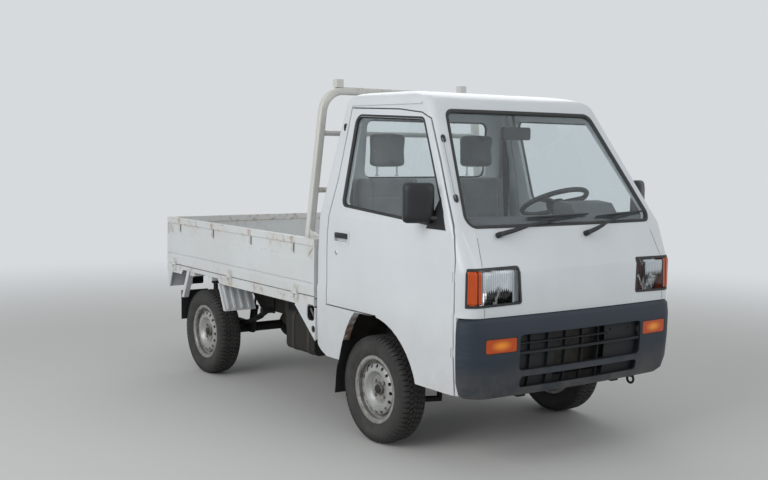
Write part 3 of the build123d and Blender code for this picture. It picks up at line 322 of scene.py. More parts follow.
def silverWheelPaint(name):
    # silver enamel on pressed steel, brown dust and rust in the barrel and the bowl; the radius comes from the piece
    material, tree, shader, place = startMaterial(name, "#b9bab8", {"Metallic": 0.45, "IOR": 1.5})
    radius = addNode(tree, "ShaderNodeAttribute", {"attribute_name": "wheelRadius"})
    ring = rampOver(tree, radius.outputs["Fac"], [(0.0, 1.0), (0.15, 0.95), (0.2, 0.55), (0.42, 0.5), (0.47, 0.08),
                                                  (0.57, 0.05), (0.62, 0.16), (0.73, 0.2), (0.77, 0.8), (0.9, 0.85),
                                                  (0.94, 0.35), (1.0, 0.6)])
    ragged = noiseMask(tree, place, 30.0, 0.3, 0.72, 9.0)
    dust = calc(tree, "MULTIPLY", ring, calc(tree, "MULTIPLY_ADD", ragged, 0.75, 0.25))
    dustTone = mixColour(tree, noiseMask(tree, place, 70.0, 0.35, 0.65), "#62564a", "#3f352c")
    base = mixColour(tree, noiseMask(tree, place, 12.0, 0.3, 0.8), "#b9bab8", "#a3a3a0")
    base = mixColour(tree, dust, base, dustTone)
    rust = calc(tree, "MULTIPLY", ring, noiseMask(tree, place, 55.0, 0.6, 0.68, 6.0))
    tree.links.new(mixColour(tree, rust, base, "#6b4426"), shader.inputs["Base Color"])
    tree.links.new(calc(tree, "MULTIPLY_ADD", dust, 0.4, 0.4), shader.inputs["Roughness"])
    grainBump(tree, shader, place, 300.0, 5.0, 0.2, 0.0006)
    return material


def shinyMetal(name, colour, roughness, metallic=1.0):
    # plated or polished metal
    material, tree, shader, place = startMaterial(name, colour, {"Metallic": metallic})
    wipe = addNode(tree, "ShaderNodeTexNoise", {"Scale": 40.0, "Detail": 4.0}, {"Vector": place})
    span = addNode(tree, "ShaderNodeMapRange", {"To Min": roughness * 0.7, "To Max": roughness * 1.5},
                   {"Value": wipe.outputs["Fac"]})
    tree.links.new(span.outputs["Result"], shader.inputs["Roughness"])
    return material


gateRust = (0.655, 0.985, [(0.0, 0.6), (0.08, 0.3), (0.22, 0.08), (0.27, 0.2), (0.3, 0.06), (0.6, 0.04), (0.64, 0.3),
                           (0.68, 0.1), (0.82, 0.3), (0.86, 1.0), (0.9, 0.3), (0.97, 0.7), (1.0, 1.0)])
guardRust = (0.66, 1.82, [(0.0, 1.0), (0.1, 0.3), (0.46, 0.1), (0.5, 0.9), (0.54, 0.1), (0.74, 0.1),
                          (0.78, 0.9), (0.8, 0.1), (0.95, 0.4), (1.0, 1.0)])
sillRust = (0.36, 0.75, [(0.0, 1.0), (0.12, 0.3), (0.3, 0.05), (1.0, 0.0)])
# painted highlight on the turn signals, not a lit bulb
turnSignalPaintedHighlight = (0.504, 0.595, 0.062, 0.026, "#ffa12b")  # x, z and reach of the bright patch, and its colour
finishes = {
    "cabEnamel": enamelPaint("whiteCabEnamel", "#d6dadd", "#cfd3d6", 0.5, 0.85, 0.3, sillRust, 0.5, arches=True),
    "bedEnamel": enamelPaint("wornBedEnamel", "#d6dadb", "#cfd1cf", 0.22, 0.8, 0.6, gateRust, 0.9, tabs=True),
    "guardEnamel": enamelPaint("guardEnamel", "#d2d3d0", "#c8c7be", 0.1, 0.9, 0.6, guardRust, 0.8),
    "bumperPlastic": mouldedPlastic("bumperPolypropylene", "#1e2835", "#28323e", 0.5,
                                    scuff=(-0.69, -0.60, "#59606a")),
    "grillePlastic": mouldedPlastic("grillePolypropylene", "#121418", "#1c1f24", 0.65),
    "blackPlastic": mouldedPlastic("blackAbs", "#141619", "#222427", 0.42),
    "greyPlastic": mouldedPlastic("greyAbs", "#5d6062", "#6f7274", 0.5),
    "dashPlastic": mouldedPlastic("dashboardVinyl", "#4b4e52", "#5a5d60", 0.6, 500.0, 0.4, 0.4),
    "floorRubber": dustyRubber("cabFloorRubber", "#2a2a29", "#6e675b", 0.45),
    "blackRubber": dustyRubber("weatherstripRubber", "#19191b", "#3a3a38", 0.3, 0.55),
    "tyreRubber": dustyRubber("tyreRubber", "#1c1c1d", "#474543", 0.3, 0.8, "#5b5854"),
    "underPaint": roughSteel("underbodyPaint", "#151515", "#2b2723", 0.75, 0.0),
    "rustySteel": roughSteel("rustySteel", "#5b3a26", "#2c2723", 0.75, 0.2),
    "castIron": roughSteel("castIron", "#34312e", "#4f463b", 0.65, 0.4),
    "zincSteel": roughSteel("zincSteel", "#a3a39e", "#6f675c", 0.4, 0.75, 25.0),
    "wheelPaint": silverWheelPaint("silverWheelEnamel"),
    # near-black cord colour for the painted shade in the front panel's seams
    "paintedSeamShade": dustyRubber("seamShadeCord", "#0e0e0f", "#1c1b1a", 0.2, 0.8),
    "lampHousing": mouldedPlastic("greyLampHousing", "#8d9295", "#7c8184", 0.35, 900.0, 0.4, 0.1),
    "windowGlass": clearGlass("floatGlass", "#eef3f4", "#e6eced"),
    "lampGlass": lensPlastic("flutedLampGlass", "#f8f9f9", "#e3e6e8", 1.0, 26.0, 0.03, 0.35),
    "amberLens": lensPlastic("amberLens", "#d75406", "#a63a02", 0.0, 70.0, 0.3, 0.3, turnSignalPaintedHighlight),
    "redLens": lensPlastic("redLens", "#b3161a", "#7c0d10", 0.2, 40.0),
    "clearLens": lensPlastic("clearAcrylicLens", "#eceeef", "#cfd3d6", 0.5, 40.0),
    "chromeReflector": shinyMetal("vacuumPlatedReflector", "#c9ced2", 0.42, 0.25),
    "mirrorGlass": shinyMetal("silveredGlass", "#dfe4e8", 0.02),
    "brightSteel": shinyMetal("chromedSteel", "#c9cbcc", 0.2),
    "seatCloth": wovenCloth("greySeatCloth", "#6a6d70", "#7e8082", 0.003),
    "beltWebbing": wovenCloth("beltWebbing", "#26272a", "#333437", 0.002),
}
finishOfNode = {
    "cab_paint": "cabEnamel", "bed_paint": "bedEnamel", "bumper_plastic": "bumperPlastic",
    "black_plastic": "blackPlastic", "black_rubber": "blackRubber", "frame_paint": "underPaint",
    "wheel_paint": "wheelPaint", "tyre_rubber": "tyreRubber", "window_glass": "windowGlass",
    "lamp_glass": "lampGlass", "amber_lens": "amberLens", "red_lens": "redLens", "seat_fabric": "seatCloth",
    "dash_plastic": "dashPlastic", "bare_steel": "castIron", "iron": "castIron",
}
ownFinish = {
    "cab_floor": "floorRubber", "fender_stays": "cabEnamel", "door_mirror_right": "blackPlastic",
    "door_mirror_left": "blackPlastic", "mud_flaps": "blackRubber", "guard_frame": "guardEnamel",
    "exhaust": "rustySteel", "bumper_grille": "grillePlastic",
}
print("materials made")


# shapes in mesh code, all in metres in the frame's axes

def joinRings(bm, first, second):
    count = len(first)
    for i in range(count):
        j = (i + 1) % count
        bm.faces.new((first[i], first[j], second[j], second[i]))


def bridgeRings(bm, rings, closed=False, capped=False):
    # walls from each ring to the next, and back to the first if closed
    for first, second in zip(rings, rings[1:]):
        joinRings(bm, first, second)
    if closed:
        joinRings(bm, rings[-1], rings[0])
    if capped:
        bm.faces.new(rings[0][::-1])
        bm.faces.new(rings[-1])


def bridgeGrid(bm, grid):
    # one face for each four points that are there
    for column, after in zip(grid, grid[1:]):
        for j in range(len(column) - 1):
            corners = (column[j], after[j], after[j + 1], column[j + 1])
            if all(corners):
                bm.faces.new(corners)


def addTube(bm, points, radius, sides=10, closed=False, flat=1.0, up=None):
    # a round or flattened bar along points
    points = [Vector(p) for p in points]
    rings = []
    side = Vector(up) if up else None
    for i, point in enumerate(points):
        ahead = points[(i + 1) % len(points)] if closed or i < len(points) - 1 else point
        behind = points[i - 1] if closed or i else point
        tangent = (ahead - behind).normalized()
        side = side or tangent.orthogonal()
        side = (side - tangent * side.dot(tangent)).normalized()
        across = tangent.cross(side)
        r = radius[i] if isinstance(radius, (list, tuple)) else radius
        rings.append([bm.verts.new(point + side * (r * flat * math.cos(a)) + across * (r * math.sin(a)))
                      for a in [2 * math.pi * k / sides for k in range(sides)]])
    bridgeRings(bm, rings, closed, not closed)


def addLathe(bm, profile, centre, axis="X", steps=40, sign=1):
    # profile: closed outline of (radius, distance along the axis)
    rings = []
    for k in range(steps):
        a = 2 * math.pi * k / steps
        c, s = math.cos(a), math.sin(a)
        ring = []
        for r, h in profile:
            offset = {"X": (h * sign, r * c, r * s), "Y": (r * c, h * sign, r * s), "Z": (r * c, r * s, h * sign)}[axis]
            ring.append(bm.verts.new(Vector(centre) + Vector(offset)))
        rings.append(ring)
    bridgeRings(bm, rings, closed=True)


def addPrism(bm, outline, low, high, axis="X"):
    # outline of (first, second) in the two other axes, in X, Y, Z order
    def corner(a, b, h):
        return {"X": (h, a, b), "Y": (a, h, b), "Z": (a, b, h)}[axis]
    first = [bm.verts.new(corner(a, b, low)) for a, b in outline]
    second = [bm.verts.new(corner(a, b, high)) for a, b in outline]
    bridgeRings(bm, [first, second], capped=True)


def addBlock(bm, low, high):
    (x0, y0, z0), (x1, y1, z1) = low, high
    addPrism(bm, [(x0, y0), (x1, y0), (x1, y1), (x0, y1)], z0, z1, "Z")


def roundedOutline(low, high, radius, steps=5):
    # a rectangle with round corners, as points
    (a0, b0), (a1, b1) = low, high
    outline = []
    for ca, cb, start in ((a1 - radius, b1 - radius, 0), (a0 + radius, b1 - radius, 90),
                          (a0 + radius, b0 + radius, 180), (a1 - radius, b0 + radius, 270)):
        for k in range(steps + 1):
            t = math.radians(start + 90 * k / steps)
            outline.append((ca + radius * math.cos(t), cb + radius * math.sin(t)))
    return outline


def linkObject(name, data):
    thing = bpy.data.objects.new(name, data)
    bpy.context.scene.collection.objects.link(thing)
    return thing


def meshFrom(name, bm):
    mesh = bpy.data.meshes.new(name)
    bm.to_mesh(mesh)
    bm.free()
    return mesh


def evaluatedMesh(thing):
    return bpy.data.meshes.new_from_object(thing.evaluated_get(bpy.context.evaluated_depsgraph_get()))


def newPiece(name, mesh, body, finish):
    piece = linkObject(name, mesh)
    mesh.materials.clear()
    mesh.materials.append(finishes[finish])
    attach(piece, body)
    return piece


def markSharp(bm, degrees):
    for face in bm.faces:
        face.smooth = True
    for edge in bm.edges:
        edge.smooth = not (len(edge.link_faces) == 2 and edge.calc_face_angle(0) > math.radians(degrees))


def softenEdges(piece, width, angle=38, segments=2):
    bevel = piece.modifiers.new("softEdges", "BEVEL")
    bevel.width = width
    bevel.segments = segments
    bevel.limit_method = "ANGLE"
    bevel.angle_limit = math.radians(angle)
    bevel.harden_normals = True


def addWall(piece, thickness):
    # gives a sheet its thickness, behind its face
    wall = piece.modifiers.new("wall", "SOLIDIFY")
    wall.thickness = thickness
    wall.offset = -1


def shapePiece(name, bm, body, finish, bevel=0, sharp=32):
    bmesh.ops.remove_doubles(bm, verts=bm.verts, dist=1e-6)
    bmesh.ops.recalc_face_normals(bm, faces=bm.faces)
    markSharp(bm, sharp)
    piece = newPiece(name, meshFrom(name, bm), body, finish)
    if bevel:
        softenEdges(piece, bevel)
    return piece


def handedPieces(name, make, bodies, finish, bevel=0, sharp=32):
    # make fills a mesh for the right side, at negative x; the left one is its mirror image
    made = []
    for hand, body in zip(("Right", "Left"), bodies):
        bm = bmesh.new()
        make(bm)
        if hand == "Left":
            for vert in bm.verts:
                vert.co.x = -vert.co.x
            bmesh.ops.reverse_faces(bm, faces=bm.faces)
        made.append(shapePiece(name + hand, bm, body, finish, bevel, sharp))
    return made


bothChassis = ("chassis", "chassis")
bothDoors = ("right_door", "left_door")
bothGates = ("right_gate", "left_gate")
surfaceTrees = {}


def surfaceHit(node, start, direction):
    # where a straight line first meets a node's surface, or None
    if node not in surfaceTrees:
        mesh = cadNodes[node].data
        surfaceTrees[node] = BVHTree.FromPolygons([v.co.copy() for v in mesh.vertices],
                                                  [tuple(p.vertices) for p in mesh.polygons])
    return surfaceTrees[node].ray_cast(Vector(start), Vector(direction))[0]


def sideX(node, y, z):
    # x of a node's outer face on the right side
    return surfaceHit(node, (-1.2, y, z), (1, 0, 0)).x


def frontY(node, x, z):
    # y of a node's front face, or None beside it
    place = surfaceHit(node, (x, -2.2, z), (0, 1, 0))
    return place.y if place else None


# Geometry Nodes for what repeats

def setInputs(modifier, tree, values):
    for item in tree.interface.items_tree:
        if item.item_type == "SOCKET" and item.in_out == "INPUT" and item.name in values:
            modifier[item.identifier] = values[item.name]


def startTree(name, sockets):
    tree = bpy.data.node_groups.new(name, "GeometryNodeTree")
    tree.interface.new_socket("Shape", in_out="INPUT", socket_type="NodeSocketGeometry")
    for label, kind in sockets:
        tree.interface.new_socket(label, in_out="INPUT", socket_type=kind)
    tree.interface.new_socket("Finish", in_out="INPUT", socket_type="NodeSocketMaterial")
    tree.interface.new_socket("Geometry", in_out="OUTPUT", socket_type="NodeSocketGeometry")
    return tree, addNode(tree, "NodeGroupInput").outputs


def endTree(tree, instances, entry):
    real = addNode(tree, "GeometryNodeRealizeInstances", None, {"Geometry": instances})
    painted = addNode(tree, "GeometryNodeSetMaterial", None, {"Geometry": real.outputs[0], "Material": entry["Finish"]})
    addNode(tree, "NodeGroupOutput", None, {"Geometry": painted.outputs[0]})


def makeRingTree():
    # copies of the shape round an axis along X through the centre
    tree, entry = startTree("shapesInRing", [("Count", "NodeSocketInt"), ("Centre", "NodeSocketVector")])
    points = addNode(tree, "GeometryNodeMeshLine", {"Offset": (0, 0, 0)}, {"Count": entry["Count"]})
    index = addNode(tree, "GeometryNodeInputIndex")
    turn = calc(tree, "DIVIDE", calc(tree, "MULTIPLY", index.outputs[0], 2 * math.pi), entry["Count"])
    euler = addNode(tree, "ShaderNodeCombineXYZ", None, {"X": turn})
    rotation = addNode(tree, "FunctionNodeEulerToRotation", None, {0: euler.outputs[0]})
    copies = addNode(tree, "GeometryNodeInstanceOnPoints", None, {
        "Points": points.outputs[0], "Instance": entry["Shape"], "Rotation": rotation.outputs[0]})
    moved = addNode(tree, "GeometryNodeTransform", None, {
        "Geometry": copies.outputs[0], "Translation": entry["Centre"]})
    endTree(tree, moved.outputs[0], entry)
    return tree


def makeRowTree():
    # copies of the shape in a straight row
    tree, entry = startTree("shapesInRow", [("Count", "NodeSocketInt"), ("Start", "NodeSocketVector"),
                                            ("Step", "NodeSocketVector")])
    points = addNode(tree, "GeometryNodeMeshLine", None, {
        "Count": entry["Count"], "Start Location": entry["Start"], "Offset": entry["Step"]})
    copies = addNode(tree, "GeometryNodeInstanceOnPoints", None, {
        "Points": points.outputs[0], "Instance": entry["Shape"]})
    endTree(tree, copies.outputs[0], entry)
    return tree


def repeatShape(name, bm, tree, values, finish):
    # a plain mesh of the shape and its copies
    bmesh.ops.recalc_face_normals(bm, faces=bm.faces)
    holder = linkObject(name + "Shape", meshFrom(name + "Shape", bm))
    modifier = holder.modifiers.new("repeat", "NODES")
    modifier.node_group = tree
    setInputs(modifier, tree, dict(values, Finish=finishes[finish]))
    bpy.context.view_layer.update()
    result = evaluatedMesh(holder)
    bpy.data.objects.remove(holder)
    return result


ringTree = makeRingTree()
rowTree = makeRowTree()


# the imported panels, with softened edges

skinSettings = {"merge": 2e-5, "flat": 0.4, "sharp": 28}
bevelOfNode = {"roof": 0.002, "front_panel": 0.0015, "cab_side_right": 0.0015, "cab_side_left": 0.0015,
               "door_right": 0.0018, "door_left": 0.0018, "side_gate_right": 0.0015, "side_gate_left": 0.0015,
               "tailgate": 0.0015, "front_bumper": 0.002, "bumper_grille": 0.001, "dashboard": 0.004,
               "bed_front_wall": 0.0015, "side_skirts": 0.001, "cab_rear_wall": 0.0015}
drawnByHand = {"seat_cushions", "seat_backs", "headrests", "wipers", "headlight_lenses", "headlight_bezels",
               "door_mirror_right", "door_mirror_left",
               "tyre_front_right", "tyre_front_left", "tyre_rear_right", "tyre_rear_left"}


def writeRadius(mesh, axleY, axleZ, rimRadius):
    # distance from the axle as a share of the rim's radius, for the paint and the rubber
    share = mesh.attributes.new("wheelRadius", "FLOAT", "POINT")
    for vert, item in zip(mesh.vertices, share.data):
        item.value = math.hypot(vert.co.y - axleY, vert.co.z - axleZ) / rimRadius


wheelFacts = {"rimRadius": 0.169, "tyreRadius": 0.267, "height": 0.267, "halfTrack": 0.602}


def axleOf(nodeName):
    low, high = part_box(nodeName)
    return (low[1] + high[1]) / 2


thinBar = {"left": 0.166, "step": 0.002, "right": 0.39, "low": 0.5925, "high": 0.5975,
           "panelY": -1.5, "panelZ": 0.612, "proud": 0.0004}


def endThinBar(bm):
    # the grille's thin bar ends at the duct: beyond it the plate panel is plain
    for x in (thinBar["left"], thinBar["left"] + thinBar["step"]):
        everything = bm.verts[:] + bm.edges[:] + bm.faces[:]
        bmesh.ops.bisect_plane(bm, geom=everything, plane_co=(x, 0, 0), plane_no=(1, 0, 0))
    for vert in bm.verts:
        if vert.co.x > thinBar["left"] + thinBar["step"] / 2 and thinBar["low"] < vert.co.z < thinBar["high"]:
            panel = frontY("bumper_grille", min(vert.co.x, thinBar["right"]), thinBar["panelZ"])
            if panel is not None and panel < thinBar["panelY"]:
                vert.co.y = max(vert.co.y, panel - thinBar["proud"])


def skinNode(nodeName):
    # a merged, smooth-shaded copy with softened edges stands for the bare triangles of a node
    mesh = cadNodes[nodeName].data.copy()
    bm = bmesh.new()
    bm.from_mesh(mesh)
    bmesh.ops.remove_doubles(bm, verts=bm.verts, dist=skinSettings["merge"])
    bmesh.ops.dissolve_limit(bm, angle_limit=math.radians(skinSettings["flat"]), verts=bm.verts, edges=bm.edges)
    if nodeName == "bumper_grille":
        endThinBar(bm)
    markSharp(bm, skinSettings["sharp"])
    bm.to_mesh(mesh)
    bm.free()
    if nodeName.startswith("wheel_"):
        writeRadius(mesh, axleOf(nodeName), wheelFacts["height"], wheelFacts["rimRadius"])
    finish = ownFinish.get(nodeName, finishOfNode[slotOfNode[nodeName]])
    skin = newPiece(nodeName + "Skin", mesh, bodyOfNode[nodeName], finish)
    width = bevelOfNode.get(nodeName, 0)
    if width:
        softenEdges(skin, width)
    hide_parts(nodeName)
    return skin


for nodeName in cadNodes:
    if nodeName not in drawnByHand:
        skinNode(nodeName)
print("panels skinned")


# rubber seals round the panes

def paneLoop(nodeName, outward, wanted=None):
    # the edge of a pane's outer face, in order, with the face's normals; wanted picks one of several panes
    bm = bmesh.new()
    bm.from_mesh(cadNodes[nodeName].data)
    bmesh.ops.remove_doubles(bm, verts=bm.verts, dist=skinSettings["merge"])
    bm.normal_update()
    outward = Vector(outward).normalized()
    outer = {f for f in bm.faces if f.normal.dot(outward) > 0.5 and (wanted is None or wanted(f.calc_center_median()))}
    edges = {e for e in bm.edges if len([f for f in e.link_faces if f in outer]) == 1}
    normals = {}
    for edge in edges:
        for vert in edge.verts:
            around = [f.normal for f in vert.link_faces if f in outer]
            normals[vert] = sum(around, Vector()).normalized()
    start = next(iter(edges)).verts[0]
    loop, here, previous = [], start, None
    while True:
        loop.append((here.co.copy(), normals[here].copy()))
        onward = [e for e in here.link_edges if e in edges and e is not previous]
        previous = onward[0]
        here = previous.other_vert(here)
        if here is start or len(loop) > 4000:
            break
    bm.free()
    return loop


def evenLoop(loop, spacing):
    # the same loop with points at an even spacing
    total = sum((b[0] - a[0]).length for a, b in zip(loop, loop[1:] + loop[:1]))
    count = max(24, int(total / spacing))
    step = total / count
    result, walked, target = [], 0.0, 0.0
    for a, b in zip(loop, loop[1:] + loop[:1]):
        span = (b[0] - a[0]).length
        while span > 0 and target <= walked + span and len(result) < count:
            t = (target - walked) / span
            result.append((a[0].lerp(b[0], t), a[1].lerp(b[1], t).normalized()))
            target += step
        walked += span
    return result


def sweepLoop(bm, loop, profile):
    # profile: closed outline of (distance out from the pane's edge, distance up from its face)
    middle = sum((pair[0] for pair in loop), Vector()) / len(loop)
    rings = []
    count = len(loop)
    for i, (point, normal) in enumerate(loop):
        tangent = (loop[(i + 1) % count][0] - loop[i - 1][0]).normalized()
        out = tangent.cross(normal).normalized()
        if out.dot(point - middle) < 0:
            out = -out
        rings.append([bm.verts.new(point + out * a + normal * b) for a, b in profile])
    bridgeRings(bm, rings, closed=True)


sealSettings = {"spacing": 0.012,
                "screen": [(-0.0092, 0.0004), (-0.0088, 0.004), (-0.0065, 0.0082), (-0.001, 0.0118), (0.005, 0.013),
                           (0.009, 0.0125), (0.0112, 0.0104), (0.0104, 0.009), (0.0, 0.0085), (-0.0004, 0.0004)],
                "door": [(-0.0072, 0.0004), (-0.007, 0.006), (-0.0052, 0.0108), (-0.001, 0.0142), (0.004, 0.0156),
                         (0.0075, 0.0152), (0.0092, 0.0142), (0.0086, 0.013), (0.0, 0.0125), (-0.0004, 0.0004)]}


def makeSeal(name, loop, profile, body):
    bm = bmesh.new()
    sweepLoop(bm, evenLoop(loop, sealSettings["spacing"]), profile)
    return shapePiece(name, bm, body, "blackRubber", 0, 50)


for name, node, outward, wanted, profile, body in (
        ("windscreenSeal", "cab_glass", (0, -1, 0.4), lambda c: c.y < -0.9, "screen", "chassis"),
        ("rearWindowSeal", "cab_glass", (0, 1, 0.1), lambda c: c.y > -0.5, "screen", "chassis"),
        ("doorGlassSealRight", "door_glass_right", (-1, 0, 0.2), None, "door", "right_door"),
        ("doorGlassSealLeft", "door_glass_left", (1, 0, 0.2), None, "door", "left_door")):
    makeSeal(name, paneLoop(node, outward, wanted), sealSettings[profile], body)
print("seals made")


# tyres and what is on the wheels

tyreSettings = {
    "steps": 96, "lugs": 62,
    # outline of (radius, distance from the middle plane), outer side first
    "half": [(0.1525, 0.0480), (0.1580, 0.0522), (0.1660, 0.0528), (0.1705, 0.0555), (0.1735, 0.0590), (0.1770, 0.0600),
             (0.1860, 0.0652), (0.1960, 0.0692), (0.2080, 0.0716), (0.2200, 0.0724), (0.2320, 0.0716), (0.2420, 0.0695),
             (0.2500, 0.0655), (0.2560, 0.0600), (0.2590, 0.0520), (0.2600, 0.0430), (0.2604, 0.0230), (0.2606, 0.0)],
}


def addLug(bm, outline, low, high, skew=0.0):
    # a tread block: outline across the tyre as (distance from the middle, radius), low to high along the rim
    bridgeRings(bm, [[bm.verts.new((a, along + skew * (a - outline[0][0]), b)) for a, b in outline]
                     for along in (low, high)], capped=True)


treadSettings = {
    "shoulder": [(0.0335, 0.2585), (0.0335, 0.2663), (0.0480, 0.2655), (0.0575, 0.2622), (0.0640, 0.2568),
                 (0.0692, 0.2480), (0.0672, 0.2470), (0.0590, 0.2560), (0.0460, 0.2590)],
    "shoulderSpans": ((1, -0.0098, 0.0098), (-1, 0.0042, 0.0238)),  # side, from, to
    "ribs": ((0.0220, -0.0090, 0.35), (0.0, 0.0045, -0.35), (-0.0220, -0.0090, 0.35)),  # middle, start, skew
    "ribHalf": 0.0088, "ribLow": 0.2590, "ribHigh": 0.2666, "ribLength": 0.0205,
}


def treadShape():
    bm = bmesh.new()
    for side, start, end in treadSettings["shoulderSpans"]:
        addLug(bm, [(side * a, b) for a, b in treadSettings["shoulder"]], start, end)
    half, low, high = [treadSettings[k] for k in ("ribHalf", "ribLow", "ribHigh")]
    for middle, start, skew in treadSettings["ribs"]:
        rib = [(middle - half, low), (middle - half, high), (middle + half, high), (middle + half, low)]
        addLug(bm, rib, start, start + treadSettings["ribLength"], skew)
    return bm


def makeTyre(nodeName):
    axleY = axleOf(nodeName)
    sign = -1 if nodeName.endswith("right") else 1
    centre = Vector((sign * wheelFacts["halfTrack"], axleY, wheelFacts["height"]))
    half = tyreSettings["half"]
    closed = half + [(r, -h) for r, h in half[-2::-1]]
    bm = bmesh.new()
    addLathe(bm, closed, centre, "X", tyreSettings["steps"], sign)
    bmesh.ops.recalc_face_normals(bm, faces=bm.faces)
    tread = repeatShape(nodeName + "Tread", treadShape(), ringTree,
                        {"Count": tyreSettings["lugs"], "Centre": tuple(centre)}, "tyreRubber")
    bm.from_mesh(tread)
    markSharp(bm, 30)
    mesh = meshFrom(nodeName + "Rubber", bm)
    writeRadius(mesh, axleY, wheelFacts["height"], wheelFacts["tyreRadius"])
    tyre = newPiece(nodeName + "Rubber", mesh, bodyOfNode[nodeName], "tyreRubber")
    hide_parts(nodeName)


hubSettings = {
    "nutCircle": 0.05, "nutFace": 0.027, "capFace": 0.0325, "valve": (0.028, 0.094, 0.1005),
    "nut": [(0.0, -0.002), (0.0085, -0.002), (0.0082, 0.002), (0.0062, 0.0046), (0.0035, 0.006), (0.0, 0.0064)],
    "cap": [(0.0, 0.0), (0.0205, 0.0), (0.0225, 0.004), (0.0205, 0.0085), (0.0145, 0.0115), (0.0, 0.0125)],
}


def makeWheelTrim(nodeName):
    # domed wheel nuts, grease cap and rubber valve
    sign = -1 if nodeName.endswith("right") else 1
    axle = Vector((sign * wheelFacts["halfTrack"], axleOf(nodeName), wheelFacts["height"]))
    bm = bmesh.new()
    for k in range(4):
        a, r = math.radians(45 + 90 * k), hubSettings["nutCircle"]
        centre = axle + Vector((sign * hubSettings["nutFace"], r * math.cos(a), r * math.sin(a)))
        addLathe(bm, hubSettings["nut"], centre, "X", 16, sign)
    addLathe(bm, hubSettings["cap"], axle + Vector((sign * hubSettings["capFace"], 0, 0)), "X", 28, sign)
    shapePiece(nodeName + "Nuts", bm, bodyOfNode[nodeName], "castIron", 0, 40)
    bm = bmesh.new()
    out, ahead, up = hubSettings["valve"]
    base = axle + Vector((sign * out, ahead, up))
    tip = base + Vector((sign * 0.014, -0.012, -0.012))
    addTube(bm, [base.lerp(tip, t) for t in (0.0, 0.35, 0.4, 0.75, 1.0)], [0.0062, 0.005, 0.0035, 0.0035, 0.0028], 10)
    shapePiece(nodeName + "Valve", bm, bodyOfNode[nodeName], "blackRubber", 0, 40)


for start, make in (("tyre_", makeTyre), ("wheel_", makeWheelTrim)):
    for nodeName in [n for n in cadNodes if n.startswith(start)]:
        make(nodeName)
print("wheels made")


# lamps

lampSettings = {"inner": 0.418, "split": 0.595, "bulbX": 0.498, "bulbZ": 0.851, "bowl": 0.079, "depth": 0.0085,
                "gap": 0.0045, "cell": 0.005, "reflectorZ": 0.778, "stripZ": 0.768, "stripCell": 0.004,
                "lensEnd": 0.6205, "farY": -1.62, "middle": (0.45, -1.25, 0.85), "facing": 0.55, "wall": 0.0022,
                "bulb": [(0.0, 0.0), (0.012, 0.0), (0.012, 0.004), (0.008, 0.006), (0.008, 0.011), (0.004, 0.0135),
                         (0.0, 0.014)]}


def lensShell(name, nodeName, sign, finish):
    # the outer skin of a lens, given an even wall
    x, y, z = lampSettings["middle"]
    middle = Vector((x * sign, y, z))
    bm = bmesh.new()
    bm.from_mesh(cadNodes[nodeName].data)
    bmesh.ops.remove_doubles(bm, verts=bm.verts, dist=skinSettings["merge"])
    bm.normal_update()
    drop = [f for f in bm.faces if f.calc_center_median().x * sign < 0
            or f.normal.dot((f.calc_center_median() - middle).normalized()) < lampSettings["facing"]]
    bmesh.ops.delete(bm, geom=drop, context="FACES")
    markSharp(bm, 40)
    shell = newPiece(name, meshFrom(name, bm), "chassis", finish)
    addWall(shell, lampSettings["wall"])
    return shell


def reflectorDepth(x, z):
    # how far behind the lens the plated bowl lies
    share = min(1.0, math.hypot(x - lampSettings["bulbX"], z - lampSettings["bulbZ"]) / lampSettings["bowl"])
    return lampSettings["gap"] + lampSettings["depth"] * (1 - share * share)


def makeReflector(bm):
    # a plated sheet with a round bowl, shaped behind the near-side lens
    xs = [lampSettings["inner"] + k * lampSettings["cell"] for k in range(44)]
    grid = []
    for x in [x for x in xs if x < lampSettings["split"]]:
        column = []
        for k in range(31):
            z = lampSettings["reflectorZ"] + k * lampSettings["cell"]
            y = frontY("headlight_lenses", -x, z)
            column.append(bm.verts.new((-x, y + reflectorDepth(x, z), z)) if y is not None else None)
        grid.append(column)
    bridgeGrid(bm, grid)


def makeBulb(bm):
    x, z = -lampSettings["bulbX"], lampSettings["bulbZ"]
    y = frontY("headlight_lenses", x, z) + 0.0125
    addLathe(bm, lampSettings["bulb"], (x, y, z), "Y", 20, -1)


def makeLampStrip(bm, x0, x1, lift):
    # a sheet that follows the lens between two x, lifted towards the viewer (or sunk behind the lens)
    columns = []
    count = max(6, round((x1 - x0) / lampSettings["stripCell"]))
    for i in range(count + 1):
        x = x0 + (x1 - x0) * i / count
        cover = ("headlight_bezels", "corner_lamps") if x > lampSettings["lensEnd"] else ()
        rows = []
        for k in range(36):
            z = lampSettings["stripZ"] + k * lampSettings["cell"]
            y = frontY("headlight_lenses", -min(x, lampSettings["lensEnd"]), z)
            if y is not None and y > lampSettings["farY"]:
                over = [frontY(node, -x, z) for node in cover]
                rows.append((-x, min([v for v in over if v is not None] or [y]) - lift, z))
        columns.append(rows)
    height = min(len(rows) for rows in columns)
    bridgeGrid(bm, [[bm.verts.new(rows[round(j * (len(rows) - 1) / (height - 1))]) for j in range(height)]
                    for rows in columns])


def sheetPieces(name, make, thickness, finish):
    # thin sheets that face the viewer, on both sides
    for piece in handedPieces(name, make, bothChassis, finish, 0, 60):
        if sum(p.normal.y for p in piece.data.polygons) > 0:
            piece.data.flip_normals()
        addWall(piece, thickness)


